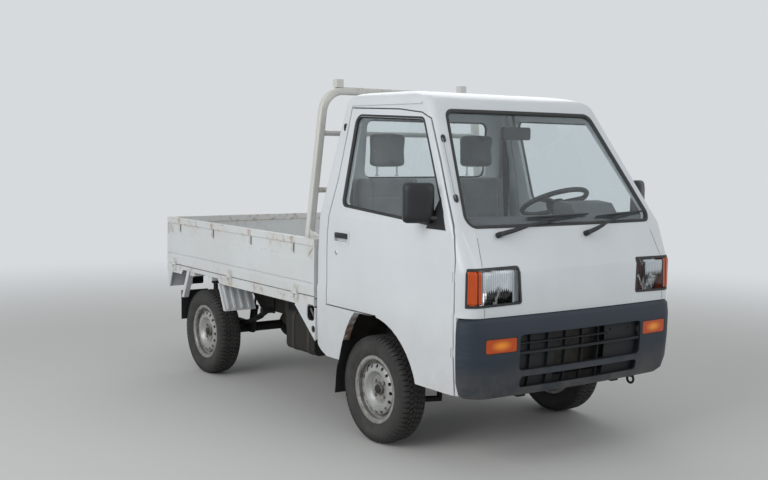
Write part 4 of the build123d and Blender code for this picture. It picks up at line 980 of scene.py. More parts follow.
lensParts = [lensShell("headlampLens" + hand, "headlight_lenses", sign, "lampGlass")
             for hand, sign in (("Right", -1), ("Left", 1))]
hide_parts("headlight_lenses")
for name, x0, x1, lift, finish, slot in (("sideLampBand", 0.6045, 0.6615, 0.0024, "amberLens", "amber_lens"),
                                         ("lampDivider", 0.5985, 0.6045, 0.0012, "lampHousing", "black_plastic"),
                                         ("lampInnerWall", 0.3950, 0.4180, -0.0045, "lampHousing", "black_plastic")):
    sheetPieces(name, lambda bm: makeLampStrip(bm, x0, x1, lift), 0.0008, finish)
sheetPieces("headlampReflector", makeReflector, 0.001, "chromeReflector")
handedPieces("headlampBulb", makeBulb, bothChassis, "clearLens")
skinNode("headlight_bezels")
print("lamps made")


# painted shade: black rims round the turn signals and dark cords in the seams of the front panel

# rim: profile of the black band that paints the shade round the turn signals; seam: path of the cord that paints the
# shade in the front panel's seams
frontTrim = {"rim": [(-0.0026, 0.0002), (-0.0026, 0.0014), (0.0034, 0.0014), (0.0034, 0.0002)],
             "seam": [(0.5872, 0.700), (0.5872, 0.7685), (0.5888, 0.937), (0.5712, 1.080)],
             "skip": (0.766, 0.928), "radius": 0.0011, "nearY": -0.9, "noseY": -1.47,
             "plateHoles": (0.210, 0.337), "plateZ": 0.604, "grommet": (0.0055, 0.0018)}


def frontSurface(x, z, lift=0.0):
    # a point on the panel or the screen seen from the front, lifted towards the viewer
    for node in ("cab_glass", "front_panel"):
        y = frontY(node, x, z)
        if y is not None and y < frontTrim["nearY"]:
            return Vector((x, y - lift, z))
    return Vector((x, frontTrim["noseY"] - lift, z))


def makeSeamShadeLine(bm):
    # painted shade: a near-black cord laid in the gap between the front panel and the side stands for the shade in that
    # narrow gap
    points = []
    for (x0, z0), (x1, z1) in zip(frontTrim["seam"], frontTrim["seam"][1:]):
        for t in [k / 12 for k in range(12)]:
            points.append(frontSurface(-(x0 + (x1 - x0) * t), z0 + (z1 - z0) * t, -0.0004))
    low, high = frontTrim["skip"]
    for part in ([p for p in points if p.z < low], [p for p in points if p.z > high]):
        addTube(bm, part, frontTrim["radius"], 8)


def makePlateGrommets():
    # rubber rings round the two holes of the bare plate panel
    bm = bmesh.new()
    radius, cord = frontTrim["grommet"]
    for x in frontTrim["plateHoles"]:
        y = frontY("bumper_grille", x, frontTrim["plateZ"] + 0.0075) - 0.0003
        circle = [math.tau * k / 20 for k in range(20)]
        addTube(bm, [(x + math.cos(a) * radius, y, frontTrim["plateZ"] + math.sin(a) * radius) for a in circle],
                cord, 8, True)
    shapePiece("plateHoleGrommets", bm, "chassis", "blackRubber", 0, 60)


# painted shade: a black band laid over the edge of each turn signal stands for the shade in the seam round the lens
for name, wanted in (("turnSignalShadeRimRight", lambda c: c.x < 0), ("turnSignalShadeRimLeft", lambda c: c.x > 0)):
    makeSeal(name, paneLoop("turn_signals", (0, -1, 0), wanted), frontTrim["rim"], "chassis")
makePlateGrommets()
# painted shade in the seams of the front panel
handedPieces("frontSeamShade", makeSeamShadeLine, bothChassis, "paintedSeamShade", 0, 60)


# wipers

wiperSettings = {"layout": [((-0.455, 1.076), (-0.241, 1.148), (0.157, 1.156)),
                            ((0.088, 1.067), (0.220, 1.144), (0.575, 1.158))],
                 "steps": 16, "up": (0, -1, 0.3)}


def makeWipers():
    bm, rubber = bmesh.new(), bmesh.new()
    steps, up = wiperSettings["steps"], wiperSettings["up"]
    for pivot, start, end in wiperSettings["layout"]:
        base = frontSurface(*pivot)
        nose = base + Vector((0, -0.03, 0.012))
        addTube(bm, [base + Vector((0, 0.012, -0.004)), base.lerp(nose, 0.55), nose], [0.014, 0.0135, 0.011], 16)
        grip = frontSurface(0.5 * (start[0] + end[0]), 0.5 * (start[1] + end[1]), 0.024)
        first = base.lerp(nose, 0.7)
        knee = first.lerp(grip, 0.38) + Vector((0, -0.012, 0.004))
        addTube(bm, [first, first.lerp(knee, 0.5) + Vector((0, -0.004, 0)), knee], [0.0115, 0.0105, 0.0085], 10,
                flat=0.7, up=up)
        addTube(bm, [knee.lerp(first, 0.1), knee.lerp(grip, 0.5), grip], [0.0062, 0.0055, 0.005], 8, flat=0.7, up=up)
        points = []
        for k in range(steps + 1):
            x, z = [a + (b - a) * k / steps for a, b in zip(start, end)]
            points.append(frontSurface(x, z))
        rail = [p + Vector((0, -0.0135, 0.002)) for p in points]
        width = [0.0035 + 0.003 * math.sin(math.pi * k / steps) for k in range(steps + 1)]
        addTube(bm, rail, width, 8, flat=0.8, up=up)
        bow = [points[k] + Vector((0, -0.016 - 0.011 * math.sin(math.pi * (k - 3) / 10), 0.003)) for k in range(3, 14)]
        addTube(bm, bow, 0.0045, 8, flat=0.8, up=up)
        addTube(rubber, [p + Vector((0, -0.0058, 0.0)) for p in points], 0.0052, 6, flat=0.5, up=(0, 0, 1))
    arms = shapePiece("wiperArms", bm, "chassis", "blackPlastic", 0, 40)
    shapePiece("wiperRubbers", rubber, "chassis", "blackRubber", 0, 40)
    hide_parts("wipers")


makeWipers()
print("wipers made")


# doors: handle, lock and mirror

doorSettings = {"handle": ((-0.604, 0.981), (-0.471, 1.029)), "probe": (-0.535, 0.955), "keyhole": (-0.491, 0.921),
                "barrel": [(0.0, -0.002), (0.0125, -0.002), (0.0125, 0.0012), (0.0105, 0.0026), (0.0085, 0.0022),
                           (0.008, 0.0008), (0.0, 0.0008)]}
mirrorSettings = {
    "centre": (-0.7320, -1.2415, 1.2165), "half": (0.0715, 0.0250, 0.0915), "turn": 29.0,
    "sail": [(-1.300, 1.2455), (-1.3795, 1.1005), (-1.2365, 1.1005)],
    "bowl": ((0.0, 0.0, 0.022), (0.003, -0.012, 0.026), (0.010, -0.020, 0.030), (0.024, -0.0250, 0.030),
             (0.045, -0.0260, 0.020)),  # inset, depth, corner
    "arm": [(-0.666, -1.300, 1.148), (-0.682, -1.286, 1.150), (-0.700, -1.262, 1.158), (-0.716, -1.246, 1.170)],
}


def makeHandleLining(bm):
    (y0, z0), (y1, z1) = doorSettings["handle"]
    x = sideX("door_right", *doorSettings["probe"])
    outline = roundedOutline((y0 + 0.0005, z0 - 0.0045), (y1 - 0.0005, z1 + 0.0025), 0.011)
    addPrism(bm, outline, x + 0.0165, x + 0.0215, "X")


def makeHandleFrame(bm):
    (y0, z0), (y1, z1) = doorSettings["handle"]
    x = sideX("door_right", *doorSettings["probe"])
    outer = roundedOutline((y0 - 0.006, z0 - 0.010), (y1 + 0.006, z1 + 0.008), 0.015)
    inner = roundedOutline((y0 + 0.0045, z0 + 0.0005), (y1 - 0.0045, z1 - 0.0025), 0.009)
    rings = [[bm.verts.new((depth, y, z)) for y, z in line] for line, depth in
             ((outer, x - 0.0004), (outer, x - 0.0024), (inner, x - 0.0024), (inner, x + 0.018))]
    bridgeRings(bm, rings, closed=True)


def makeHandleFlap(bm):
    (y0, z0), (y1, z1) = doorSettings["handle"]
    x = sideX("door_right", *doorSettings["probe"])
    low, high = z0 + 0.016, z1 - 0.0045
    rows = [(x + 0.006, high), (x - 0.0005, high), (x - 0.0032, high - 0.006), (x - 0.0036, low + 0.010),
            (x - 0.0018, low + 0.003), (x + 0.0035, low), (x + 0.0075, low + 0.003)]
    ends = [[bm.verts.new((a, y, b)) for a, b in rows] for y in (y0 + 0.007, y0 + 0.010, y1 - 0.010, y1 - 0.007)]
    for vert in ends[0] + ends[3]:
        vert.co.x += 0.002
    bridgeRings(bm, ends, capped=True)


def makeKeyhole(bm):
    y, z = doorSettings["keyhole"]
    addLathe(bm, doorSettings["barrel"], (sideX("door_right", y, z), y, z), "X", 24, -1)


def makeKeywayShade(bm):
    # painted shade: a thin black block on the lock barrel's face stands for the shaded keyway
    y, z = doorSettings["keyhole"]
    x = sideX("door_right", y, z)
    addBlock(bm, (x - 0.0014, y - 0.0011, z - 0.0052), (x - 0.0004, y + 0.0011, z + 0.0052))


def turnMirror(bm):
    turn = Matrix.Rotation(math.radians(-mirrorSettings["turn"]), 4, "Z")
    bmesh.ops.transform(bm, matrix=Matrix.Translation(mirrorSettings["centre"]) @ turn, verts=bm.verts)


def makeMirrorGlass(bm):
    hx, hy, hz = mirrorSettings["half"]
    outline = roundedOutline((-hx + 0.009, -hz + 0.009), (hx - 0.009, hz - 0.009), 0.014)
    addPrism(bm, outline, hy - 0.0062, hy - 0.0042, "Y")
    turnMirror(bm)


def makeMirrorShell(bm):
    # bowl-shaped housing: rings from the rim on the glass side round to the nose in front
    hx, hy, hz = mirrorSettings["half"]
    rim = ((0.008, hy - 0.0065, 0.014), (0.0065, hy, 0.015), (0.002, hy + 0.0005, 0.019), (0.0, hy - 0.003, 0.021))
    rings = []
    for inset, depth, corner in rim + mirrorSettings["bowl"]:
        x, z = hx - inset, hz - inset
        outline = roundedOutline((-x, -z), (x, z), min(corner, x - 0.001), 6)
        rings.append([bm.verts.new((a, depth, b)) for a, b in outline])
    bridgeRings(bm, rings, capped=True)
    turnMirror(bm)


def makeMirrorArm(bm):
    # sail plate in the window's corner and the bent arm to the housing
    outer, inner = [], []
    for y, z in mirrorSettings["sail"]:
        x = -0.6835 + 0.2343 * (z - 1.112)  # the side leans in above the belt line
        outer.append(bm.verts.new((x, y, z)))
        inner.append(bm.verts.new((x + 0.009, y, z)))
    bridgeRings(bm, [outer, inner], capped=True)
    addTube(bm, mirrorSettings["arm"], [0.014, 0.0115, 0.0105, 0.0115], 14)


handedPieces("handleLining", makeHandleLining, bothDoors, "cabEnamel")
handedPieces("handleFrame", makeHandleFrame, bothDoors, "cabEnamel", 0, 40)
handedPieces("handleFlap", makeHandleFlap, bothDoors, "blackPlastic", 0.0012)
handedPieces("keyBarrel", makeKeyhole, bothDoors, "brightSteel", 0, 40)
# painted shade for the keyway
handedPieces("keywayShade", makeKeywayShade, bothDoors, "blackPlastic")
handedPieces("doorMirrorGlass", makeMirrorGlass, bothDoors, "mirrorGlass", 0, 40)
mirrorShells = handedPieces("doorMirrorShell", makeMirrorShell, bothDoors, "blackPlastic", 0, 45)
handedPieces("doorMirrorArm", makeMirrorArm, bothDoors, "blackPlastic", 0.0015, 40)
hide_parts("door_mirror_right")
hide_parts("door_mirror_left")


# antenna mast and its two clips on the right pillar

antennaSettings = {"clips": ((-0.6092, -1.3559, 1.2403), (-0.5537, -1.1868, 1.5085)),
                   "stand": (-0.009, -0.007, 0.003), "radius": 0.0018}


def makeAntenna():
    mast, clips = bmesh.new(), bmesh.new()
    ends = [Vector(p) for p in antennaSettings["clips"]]
    stand = Vector(antennaSettings["stand"])
    along = (ends[1] - ends[0]).normalized()
    addTube(mast, [p + stand for p in ends], antennaSettings["radius"], 8)
    for centre in ends:
        addTube(clips, [centre + along * t for t in (-0.020, -0.012, 0.012, 0.020)], [0.006, 0.0115, 0.0115, 0.006], 12)
    shapePiece("antennaMast", mast, "chassis", "lampHousing")
    shapePiece("antennaClips", clips, "chassis", "blackPlastic", 0, 40)


makeAntenna()
print("door fittings made")


# seats: cushions, backs and head rests swelled as cloth

padSettings = {
    "voxel": 0.006, "quickVoxel": 0.012, "pressure": 4.0, "frames": 20,
    "cushion": ((0.105, -0.800, 0.7354), (0.515, -0.440, 0.850)), "back": (0.105, 0.515),
    "backProfile": [(-0.486, 0.8504), (-0.402, 0.8504), (-0.374, 1.312), (-0.446, 1.312)],
    "rest": ((0.198, -0.448, 1.358), (0.422, -0.366, 1.540)), "seamX": (0.180, 0.440),
    "postX": (0.245, 0.375), "postY": -0.408, "postRadius": 0.0055, "collarRadius": 0.0105,
}


def padBlock(bm, corners, radius):
    # a block with round edges between 8 corners: 4 low ones in a ring, then 4 high ones
    verts = [bm.verts.new(c) for c in corners]
    for ids in ((0, 1, 2, 3), (7, 6, 5, 4), (0, 4, 5, 1), (1, 5, 6, 2), (2, 6, 7, 3), (3, 7, 4, 0)):
        bm.faces.new([verts[i] for i in ids])
    bmesh.ops.recalc_face_normals(bm, faces=bm.faces)
    bmesh.ops.bevel(bm, geom=list(bm.edges) + list(bm.verts), offset=radius, segments=4, affect="EDGES", profile=0.55)


def swellPad(name, bm, cap, finish):
    # remesh, inflate as cloth with a limit on how far a point may move
    bmesh.ops.recalc_face_normals(bm, faces=bm.faces)
    piece = newPiece(name, meshFrom(name, bm), "chassis", finish)
    remesh = piece.modifiers.new("even", "REMESH")
    remesh.mode = "VOXEL"
    remesh.voxel_size = padSettings["voxel"]
    bpy.context.view_layer.update()
    even = evaluatedMesh(piece)
    piece.modifiers.remove(remesh)
    piece.data = even
    start = [v.co.copy() for v in even.vertices]
    cloth = piece.modifiers.new("swell", "CLOTH")
    cloth.settings.use_pressure = True
    cloth.settings.uniform_pressure_force = padSettings["pressure"]
    cloth.settings.effector_weights.gravity = 0
    cloth.settings.quality = 4
    cloth.point_cache.frame_end = padSettings["frames"]
    for number in range(1, padSettings["frames"] + 1):
        bpy.context.scene.frame_set(number)
    swollen = evaluatedMesh(piece)
    piece.modifiers.remove(cloth)
    bpy.context.scene.frame_set(1)
    for vert, before in zip(swollen.vertices, start):
        moved = vert.co - before
        if moved.length > cap:
            vert.co = before + moved.normalized() * cap
    piece.data = swollen
    piece.data.materials.clear()
    piece.data.materials.append(finishes[finish])
    return piece


def sewChannels(piece, seams, axis, depth, width, keep):
    # presses sewn lines across one coordinate into the faces that keep accepts
    mesh = piece.data
    normals = [v.normal.copy() for v in mesh.vertices]
    for vert, normal in zip(mesh.vertices, normals):
        if not keep(normal):
            continue
        for seam in seams:
            away = abs(vert.co[axis] - seam) / width
            if away < 1:
                vert.co -= normal * depth * (1 - away * away) ** 2


def clampInto(piece, low, high):
    for vert in piece.data.vertices:
        for k in range(3):
            vert.co[k] = min(max(vert.co[k], low[k]), high[k])


def finishPad(piece, fill, *nodes):
    for face in piece.data.polygons:
        face.use_smooth = True
    smooth = piece.modifiers.new("fineMesh", "SUBSURF")
    smooth.levels = smooth.render_levels = 1
    if nodes:
        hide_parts(*nodes)


def mirrorPad(piece, name):
    mesh = piece.data.copy()
    mesh.transform(Matrix.Scale(-1, 4, Vector((1, 0, 0))))
    mesh.flip_normals()
    twin = linkObject(name, mesh)
    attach(twin, "chassis")
    return twin


def boxCorners(low, high, inset):
    x0, y0, z0 = low[0] + inset, low[1] + inset, low[2] + inset * 0.3
    x1, y1, z1 = high[0] - inset, high[1] - inset, high[2] - inset
    return [(x, y, z) for z in (z0, z1) for x, y in ((x0, y0), (x1, y0), (x1, y1), (x0, y1))]


def makeSeats():
    low, high = padSettings["cushion"]
    bm = bmesh.new()
    padBlock(bm, boxCorners(low, high, 0.009), 0.026)
    cushion = swellPad("seatCushionLeft", bm, 0.010, "seatCloth")
    sewChannels(cushion, padSettings["seamX"], 0, 0.006, 0.010, lambda n: n.z > 0.3 or n.y < -0.3)
    sewChannels(cushion, (-0.700, -0.610, -0.520), 1, 0.003, 0.008, lambda n: n.z > 0.5)
    clampInto(cushion, low, high)

    x0, x1 = padSettings["back"]
    inset = 0.008
    (ya, za), (yb, zb), (yc, zc), (yd, zd) = padSettings["backProfile"]
    profile = ((ya + inset, yb - inset, za + 0.004, zb + 0.004), (yd + inset, yc - inset, zd - inset, zc - inset))
    corners = []
    for front, rear, frontZ, rearZ in profile:
        corners += [(x0 + inset, front, frontZ), (x1 - inset, front, frontZ),
                    (x1 - inset, rear, rearZ), (x0 + inset, rear, rearZ)]
    bm = bmesh.new()
    padBlock(bm, corners, 0.022)
    back = swellPad("seatBackLeft", bm, 0.010, "seatCloth")
    sewChannels(back, padSettings["seamX"], 0, 0.006, 0.010, lambda n: n.y < -0.3 or n.z > 0.4)
    sewChannels(back, (0.960, 1.080, 1.200), 2, 0.003, 0.008, lambda n: n.y < -0.5)
    clampInto(back, (x0, -0.488, 0.8503), (x1, -0.372, 1.312))

    low, high = padSettings["rest"]
    bm = bmesh.new()
    padBlock(bm, boxCorners(low, high, 0.007), 0.026)
    rest = swellPad("headRestLeft", bm, 0.008, "seatCloth")
    clampInto(rest, low, high)

    twins = [mirrorPad(cushion, "seatCushionRight"), mirrorPad(back, "seatBackRight"), mirrorPad(rest, "headRestRight")]
    finishPad(cushion, 0.8, "seat_cushions")
    finishPad(back, 0.8, "seat_backs")
    finishPad(rest, 0.9, "headrests")
    for twin, fill in zip(twins, (0.8, 0.8, 0.9)):
        finishPad(twin, fill)

    bm = bmesh.new()
    y = padSettings["postY"]
    for x in [side * x for side in (1, -1) for x in padSettings["postX"]]:
        addTube(bm, [(x, y, 1.309), (x, y, 1.366)], padSettings["postRadius"], 14)
        addTube(bm, [(x, y, 1.3085), (x, y, 1.3155)], padSettings["collarRadius"], 16)
    shapePiece("headRestPosts", bm, "chassis", "brightSteel", 0, 40)


makeSeats()
print("seats made")


# what is in the cab

cabinSettings = {
    "beltX": 0.548, "beltWidth": 0.048, "beltTop": 1.552, "beltLow": 0.860, "beltY": -0.398, "beltThickness": 0.0014,
    "ventX": (-0.520, -0.100, 0.100, 0.520), "ventHalf": 0.042, "ventZ": (1.050, 1.096), "slats": 5,
    "knobX": (-0.045, 0.0, 0.045), "pedalX": (0.20, 0.29, 0.38),
    "dials": ((0.262, 0.023), (0.345, 0.023)), "dialZ": 1.155,
}


def makeBelt(bm):
    # a strap down the rear pillar, flat side to the front
    x, half = -cabinSettings["beltX"], cabinSettings["beltWidth"] / 2
    top, low = cabinSettings["beltTop"], cabinSettings["beltLow"]
    outline = [(cabinSettings["beltY"] + 0.004 * math.sin(k * 0.9), top + (low - top) * k / 12) for k in range(13)]
    for (ya, za), (yb, zb) in zip(outline, outline[1:]):
        rings = [[bm.verts.new(c) for c in ((x - half, ya + rear, za), (x + half, ya + rear, za),
                                            (x + half, yb + rear, zb), (x - half, yb + rear, zb))]
                 for rear in (0.0, cabinSettings["beltThickness"])]
        bridgeRings(bm, rings)
        bm.faces.new(rings[0])
        bm.faces.new(rings[1][::-1])


def makeBeltFittings(bm):
    x = -cabinSettings["beltX"]
    addPrism(bm, roundedOutline((x - 0.034, 1.540), (x + 0.034, 1.584), 0.012), -0.404, -0.390, "Y")
    addPrism(bm, roundedOutline((x - 0.034, 0.800), (x + 0.034, 0.872), 0.010), -0.412, -0.372, "Y")


def makeVent(name, middle):
    # louvred outlet in the dashboard's face
    vent, slats = bmesh.new(), bmesh.new()
    x0, x1 = middle - cabinSettings["ventHalf"], middle + cabinSettings["ventHalf"]
    z0, z1 = cabinSettings["ventZ"]
    outer = roundedOutline((x0, z0), (x1, z1), 0.010)
    inner = roundedOutline((x0 + 0.006, z0 + 0.006), (x1 - 0.006, z1 - 0.006), 0.006)
    face = cabinSettings["dashFace"]
    rings = [[vent.verts.new((a, y, b)) for a, b in line] for line, y in
             ((outer, face + 0.001), (outer, face + 0.004), (inner, face + 0.004), (inner, face + 0.0005))]
    bridgeRings(vent, rings, closed=True)
    pitch = (z1 - z0 - 0.012) / (cabinSettings["slats"] + 1)
    addBlock(slats, (x0 + 0.004, 0, 0), (x1 - 0.004, 0.003, 0.0022))
    start = (0.0, face + 0.0008, z0 + 0.006 + pitch * 0.9)
    values = {"Count": cabinSettings["slats"], "Start": start, "Step": (0.0, 0.0, pitch)}
    vent.from_mesh(repeatShape(name + "Slats", slats, rowTree, values, "blackPlastic"))
    shapePiece(name, vent, "chassis", "blackPlastic", 0, 40)


def dashFaceY(x, z):
    # the dashboard's rear face, looking forward from the seats
    return surfaceHit("dashboard", (x, -0.9, z), (0, -1, 0)).y


cabinSettings["dashFace"] = dashFaceY(0.0, 1.05)
handedPieces("seatBelt", makeBelt, bothChassis, "beltWebbing")
handedPieces("beltFittings", makeBeltFittings, bothChassis, "blackPlastic", 0.003)
for index, x in enumerate(cabinSettings["ventX"]):
    makeVent("dashVent%d" % (index + 1), x)


def makeCentrePanel():
    # heater slides, two knobs and the plain lid of the glove box
    face = cabinSettings["dashFace"]
    bm = bmesh.new()
    addPrism(bm, roundedOutline((-0.085, 0.992), (0.085, 1.036), 0.008), face + 0.001, face + 0.006, "Y")
    shapePiece("heaterPanel", bm, "chassis", "blackPlastic", 0.001)
    bm = bmesh.new()
    knob = [(0.0, 0.0), (0.0095, 0.0), (0.0088, 0.011), (0.0072, 0.0125), (0.0, 0.0125)]
    for x in cabinSettings["knobX"]:
        addLathe(bm, knob, (x, face + 0.006, 1.014), "Y", 20, 1)
    shapePiece("heaterKnobs", bm, "chassis", "greyPlastic", 0, 40)
    bm = bmesh.new()
    addPrism(bm, roundedOutline((-0.520, 0.992), (-0.180, 1.040), 0.010), face + 0.001, face + 0.0045, "Y")
    shapePiece("gloveBoxLid", bm, "chassis", "dashPlastic", 0.0015)


def makeDials():
    # instrument faces behind the hood: plain ring scales with ticks and pointers
    face = dashFaceY(0.305, 1.150) + 0.0008
    level = cabinSettings["dialZ"]
    bm, ticks = bmesh.new(), bmesh.new()
    addPrism(bm, roundedOutline((0.205, 1.128), (0.405, 1.182), 0.012), face, face + 0.002, "Y")
    for x, radius in cabinSettings["dials"]:
        ring = [(radius, 0.002), (radius + 0.0022, 0.002), (radius + 0.0022, 0.0045), (radius, 0.0045)]
        addLathe(bm, ring, (x, face, level), "Y", 32, 1)
        for a in [math.radians(210 - 30 * k) for k in range(9)]:
            addTube(ticks, [(x + r * math.cos(a), face + 0.0026, level + r * math.sin(a))
                            for r in (radius - 0.006, radius - 0.002)], 0.0006, 4)
        addTube(ticks, [(x, face + 0.003, level), (x - 0.013, face + 0.003, level + 0.009)], 0.0008, 4)
    shapePiece("instrumentFaces", bm, "chassis", "blackPlastic", 0, 40)
    shapePiece("instrumentTicks", ticks, "chassis", "clearLens")


def makeControls():
    # gear lever, hand brake and three pedals
    bm = bmesh.new()
    addTube(bm, [(0.02, -0.90, 0.668), (0.015, -0.905, 0.72), (0.0, -0.93, 0.86)], [0.008, 0.0075, 0.0065], 12)
    addTube(bm, [(-0.045, -0.72, 0.668), (-0.045, -0.74, 0.71), (-0.045, -0.86, 0.80)], [0.010, 0.010, 0.008], 12)
    for x in cabinSettings["pedalX"]:
        addTube(bm, [(x, -1.385, 0.86), (x, -1.33, 0.66), (x, -1.315, 0.575)], 0.007, 10)
    shapePiece("leversAndPedalArms", bm, "chassis", "castIron", 0, 40)
    bm = bmesh.new()
    knob = [(0.0, -0.002), (0.012, -0.002), (0.021, 0.012), (0.0235, 0.024), (0.019, 0.036), (0.010, 0.042),
            (0.0, 0.043)]
    boot = [(0.052, 0.0), (0.056, 0.0), (0.040, 0.016), (0.020, 0.040), (0.010, 0.048), (0.0, 0.048), (0.0, 0.040)]
    addLathe(bm, knob, (0.0, -0.93, 0.857), "Z", 24, 1)
    addLathe(bm, boot, (0.02, -0.90, 0.6675), "Z", 24, 1)
    addTube(bm, [(-0.045, -0.838, 0.783), (-0.045, -0.86, 0.80), (-0.045, -0.905, 0.833)], [0.0105, 0.0125, 0.0115], 14)
    for x in cabinSettings["pedalX"]:
        pad = [(-1.322, 0.548), (-1.309, 0.548), (-1.302, 0.602), (-1.315, 0.602)]
        addPrism(bm, pad, x - 0.026, x + 0.026, "X")
    shapePiece("knobAndPedalRubbers", bm, "chassis", "blackRubber", 0.0015, 40)


makeCentrePanel()
makeDials()
makeControls()
print("cab fitted out")


# load bed: latches, rope tabs, hinge plates and bolts

boltHead = [(0.0, 0.0), (0.0062, 0.0), (0.0062, 0.0024), (0.0048, 0.0036), (0.0, 0.0036)]
smallBoltHead = [(0.0, 0.0), (0.0055, 0.0), (0.0055, 0.0022), (0.0042, 0.0032), (0.0, 0.0032)]
bedSettings = {
    "gateX": 0.690, "bandX": 0.682, "hinges": (-0.099, 0.682, 1.477), "tailHinges": (-0.48, 0.0, 0.48), "tailY": 1.597,
    "latches": ((-0.268, -0.206, 1), (1.520, 1.576, -1)), "tailLatches": (-0.590, 0.590),
    "tab": [(0.002, 0.934), (-0.0060, 0.930), (-0.0070, 0.896), (-0.0040, 0.889), (0.002, 0.889)],
    "footBolts": [(side * x, y, 0.671) for side in (-1, 1) for x in (0.600, 0.634) for y in (-0.134, -0.086)],
}
gateLeaf = {"half": 0.024, "low": 0.672, "high": 0.713, "corner": 0.005, "lift": 0.0028,
            "boltAside": 0.013, "boltZ": 0.703, "boltLift": 0.0026, "bolt": boltHead}
railLeaf = {"half": 0.027, "low": 0.617, "high": 0.642, "corner": 0.004, "lift": 0.0022,
            "boltAside": 0.015, "boltZ": 0.629, "boltLift": 0.0020, "bolt": smallBoltHead}


def makeRopeTabs(bm):
    # small folded tabs in slots under the top rail of a side gate
    for y in ropeTabY:
        addPrism(bm, [(-bedSettings["bandX"] + a, b) for a, b in bedSettings["tab"]], y - 0.010, y + 0.010, "Y")


def makeTabShadeStrips(bm):
    # painted shade: a thin black strip on the gate's face beside each rope tab, as tall as the tab
    x = -bedSettings["bandX"]
    for y in ropeTabY:
        addBlock(bm, (x - 0.0008, y - 0.017, 0.880), (x + 0.001, y - 0.011, 0.933))


def makeGateLatches(bm):
    # over-centre catches at both ends of a side gate, in the recess below the rail
    x = -bedSettings["bandX"]
    for y0, y1, lever in bedSettings["latches"]:
        addPrism(bm, roundedOutline((y0, 0.872), (y1, 0.930), 0.006), x - 0.0030, x + 0.001, "X")
        middle = (y0 + y1) / 2
        addTube(bm, [(x - 0.005, middle + lever * 0.016, 0.886), (x - 0.0062, middle, 0.904),
                     (x - 0.005, middle - lever * 0.020, 0.922)], [0.0038, 0.0042, 0.0038], 10)
        for y, z, radius in ((middle + lever * 0.016, 0.886, 0.0065), (middle - lever * 0.018, 0.921, 0.0055)):
            addTube(bm, [(x - 0.0025, y, z), (x - 0.0068, y, z)], radius, 14)


def addLeaf(bm, along, face, axis, sign, leaf):
    # a hinge's plate with two bolt heads, on a face across X or Y; sign points out of the face
    outline = roundedOutline((along - leaf["half"], leaf["low"]), (along + leaf["half"], leaf["high"]), leaf["corner"])
    low, high = sorted((face - sign * 0.001, face + sign * leaf["lift"]))
    addPrism(bm, outline, low, high, axis)
    across = face + sign * leaf["boltLift"]
    for aside in (along - leaf["boltAside"], along + leaf["boltAside"]):
        place = (across, aside, leaf["boltZ"]) if axis == "X" else (aside, across, leaf["boltZ"])
        addLathe(bm, leaf["bolt"], place, axis, 12, sign)


def makeLeaves(bm, leaf):
    for y in bedSettings["hinges"]:
        addLeaf(bm, y, -bedSettings["gateX"], "X", -1, leaf)


def makeTailFittings():
    bm = bmesh.new()
    y = bedSettings["tailY"]
    for x in bedSettings["tailHinges"]:
        addLeaf(bm, x, y, "Y", 1, gateLeaf)
    for x in bedSettings["tailLatches"]:
        addPrism(bm, roundedOutline((x - 0.030, 0.872), (x + 0.030, 0.930), 0.006), y - 0.009, y - 0.005, "Y")
        addTube(bm, [(x - 0.018, y - 0.0032, 0.888), (x, y - 0.002, 0.903), (x + 0.018, y - 0.0032, 0.920)], 0.0038, 10)
    shapePiece("tailgateFittings", bm, "rear_gate", "guardEnamel", 0, 40)


def makeFootBolts(radius=0.0065):
    # hexagon heads with a washer on the guard's feet
    bm = bmesh.new()
    washer = [(0.0, -0.0005), (radius * 1.7, -0.0005), (radius * 1.7, 0.0012), (0.0, 0.0012)]
    head = [(0.0, 0.0012), (radius, 0.0012), (radius, 0.0052), (radius * 0.8, 0.006), (0.0, 0.006)]
    for place in bedSettings["footBolts"]:
        addLathe(bm, washer, place, "Z", 16, 1)
        addLathe(bm, head, place, "Z", 6, 1)
    shapePiece("guardFootBolts", bm, "chassis", "zincSteel", 0, 25)


handedPieces("ropeTabs", makeRopeTabs, bothGates, "guardEnamel", 0.0008)
# painted shade beside the rope tabs
handedPieces("ropeTabShadeStrips", makeTabShadeStrips, bothGates, "blackPlastic")
handedPieces("gateLatches", makeGateLatches, bothGates, "guardEnamel", 0, 40)
handedPieces("hingePlates", lambda bm: makeLeaves(bm, gateLeaf), bothGates, "guardEnamel", 0, 30)
handedPieces("railPlates", lambda bm: makeLeaves(bm, railLeaf), bothChassis, "guardEnamel", 0, 30)
makeTailFittings()
makeFootBolts()
print("load bed fitted out")


# below the bed: tank straps, brackets, dampers, rear lamps and the lever in the skirt

underSettings = {
    "strapY": (-0.150, 0.010), "tank": ((-0.640, 0.325), (-0.380, 0.545)), "strapHalf": 0.014,
    "lampX": (0.440, 0.655), "lampY": 1.5962, "lampZ": (0.512, 0.608), "lampDepth": 0.026,
    "lensX": {"Clear": (0.448, 0.498), "Amber": (0.501, 0.560), "Red": (0.563, 0.647)},
    "hook": [(-0.602, 0.128, 0.392), (-0.590, 0.120, 0.372), (-0.566, 0.112, 0.366), (-0.548, 0.112, 0.380),
             (-0.546, 0.112, 0.410)],
}


def makeTankStraps():
    bm = bmesh.new()
    (x0, z0), (x1, z1) = underSettings["tank"]
    outer = roundedOutline((x0 - 0.0022, z0 - 0.0022), (x1 - 0.002, z1 + 0.0022), 0.036, 7)
    inner = roundedOutline((x0 - 0.0004, z0 - 0.0004), (x1 - 0.0042, z1 + 0.0004), 0.0345, 7)
    for y in underSettings["strapY"]:
        low, high = y - underSettings["strapHalf"], y + underSettings["strapHalf"]
        rings = [[bm.verts.new((a, h, b)) for a, b in line]
                 for line, h in ((outer, low), (outer, high), (inner, high), (inner, low))]
        bridgeRings(bm, rings, closed=True)
    shapePiece("tankStraps", bm, "chassis", "castIron", 0, 35)


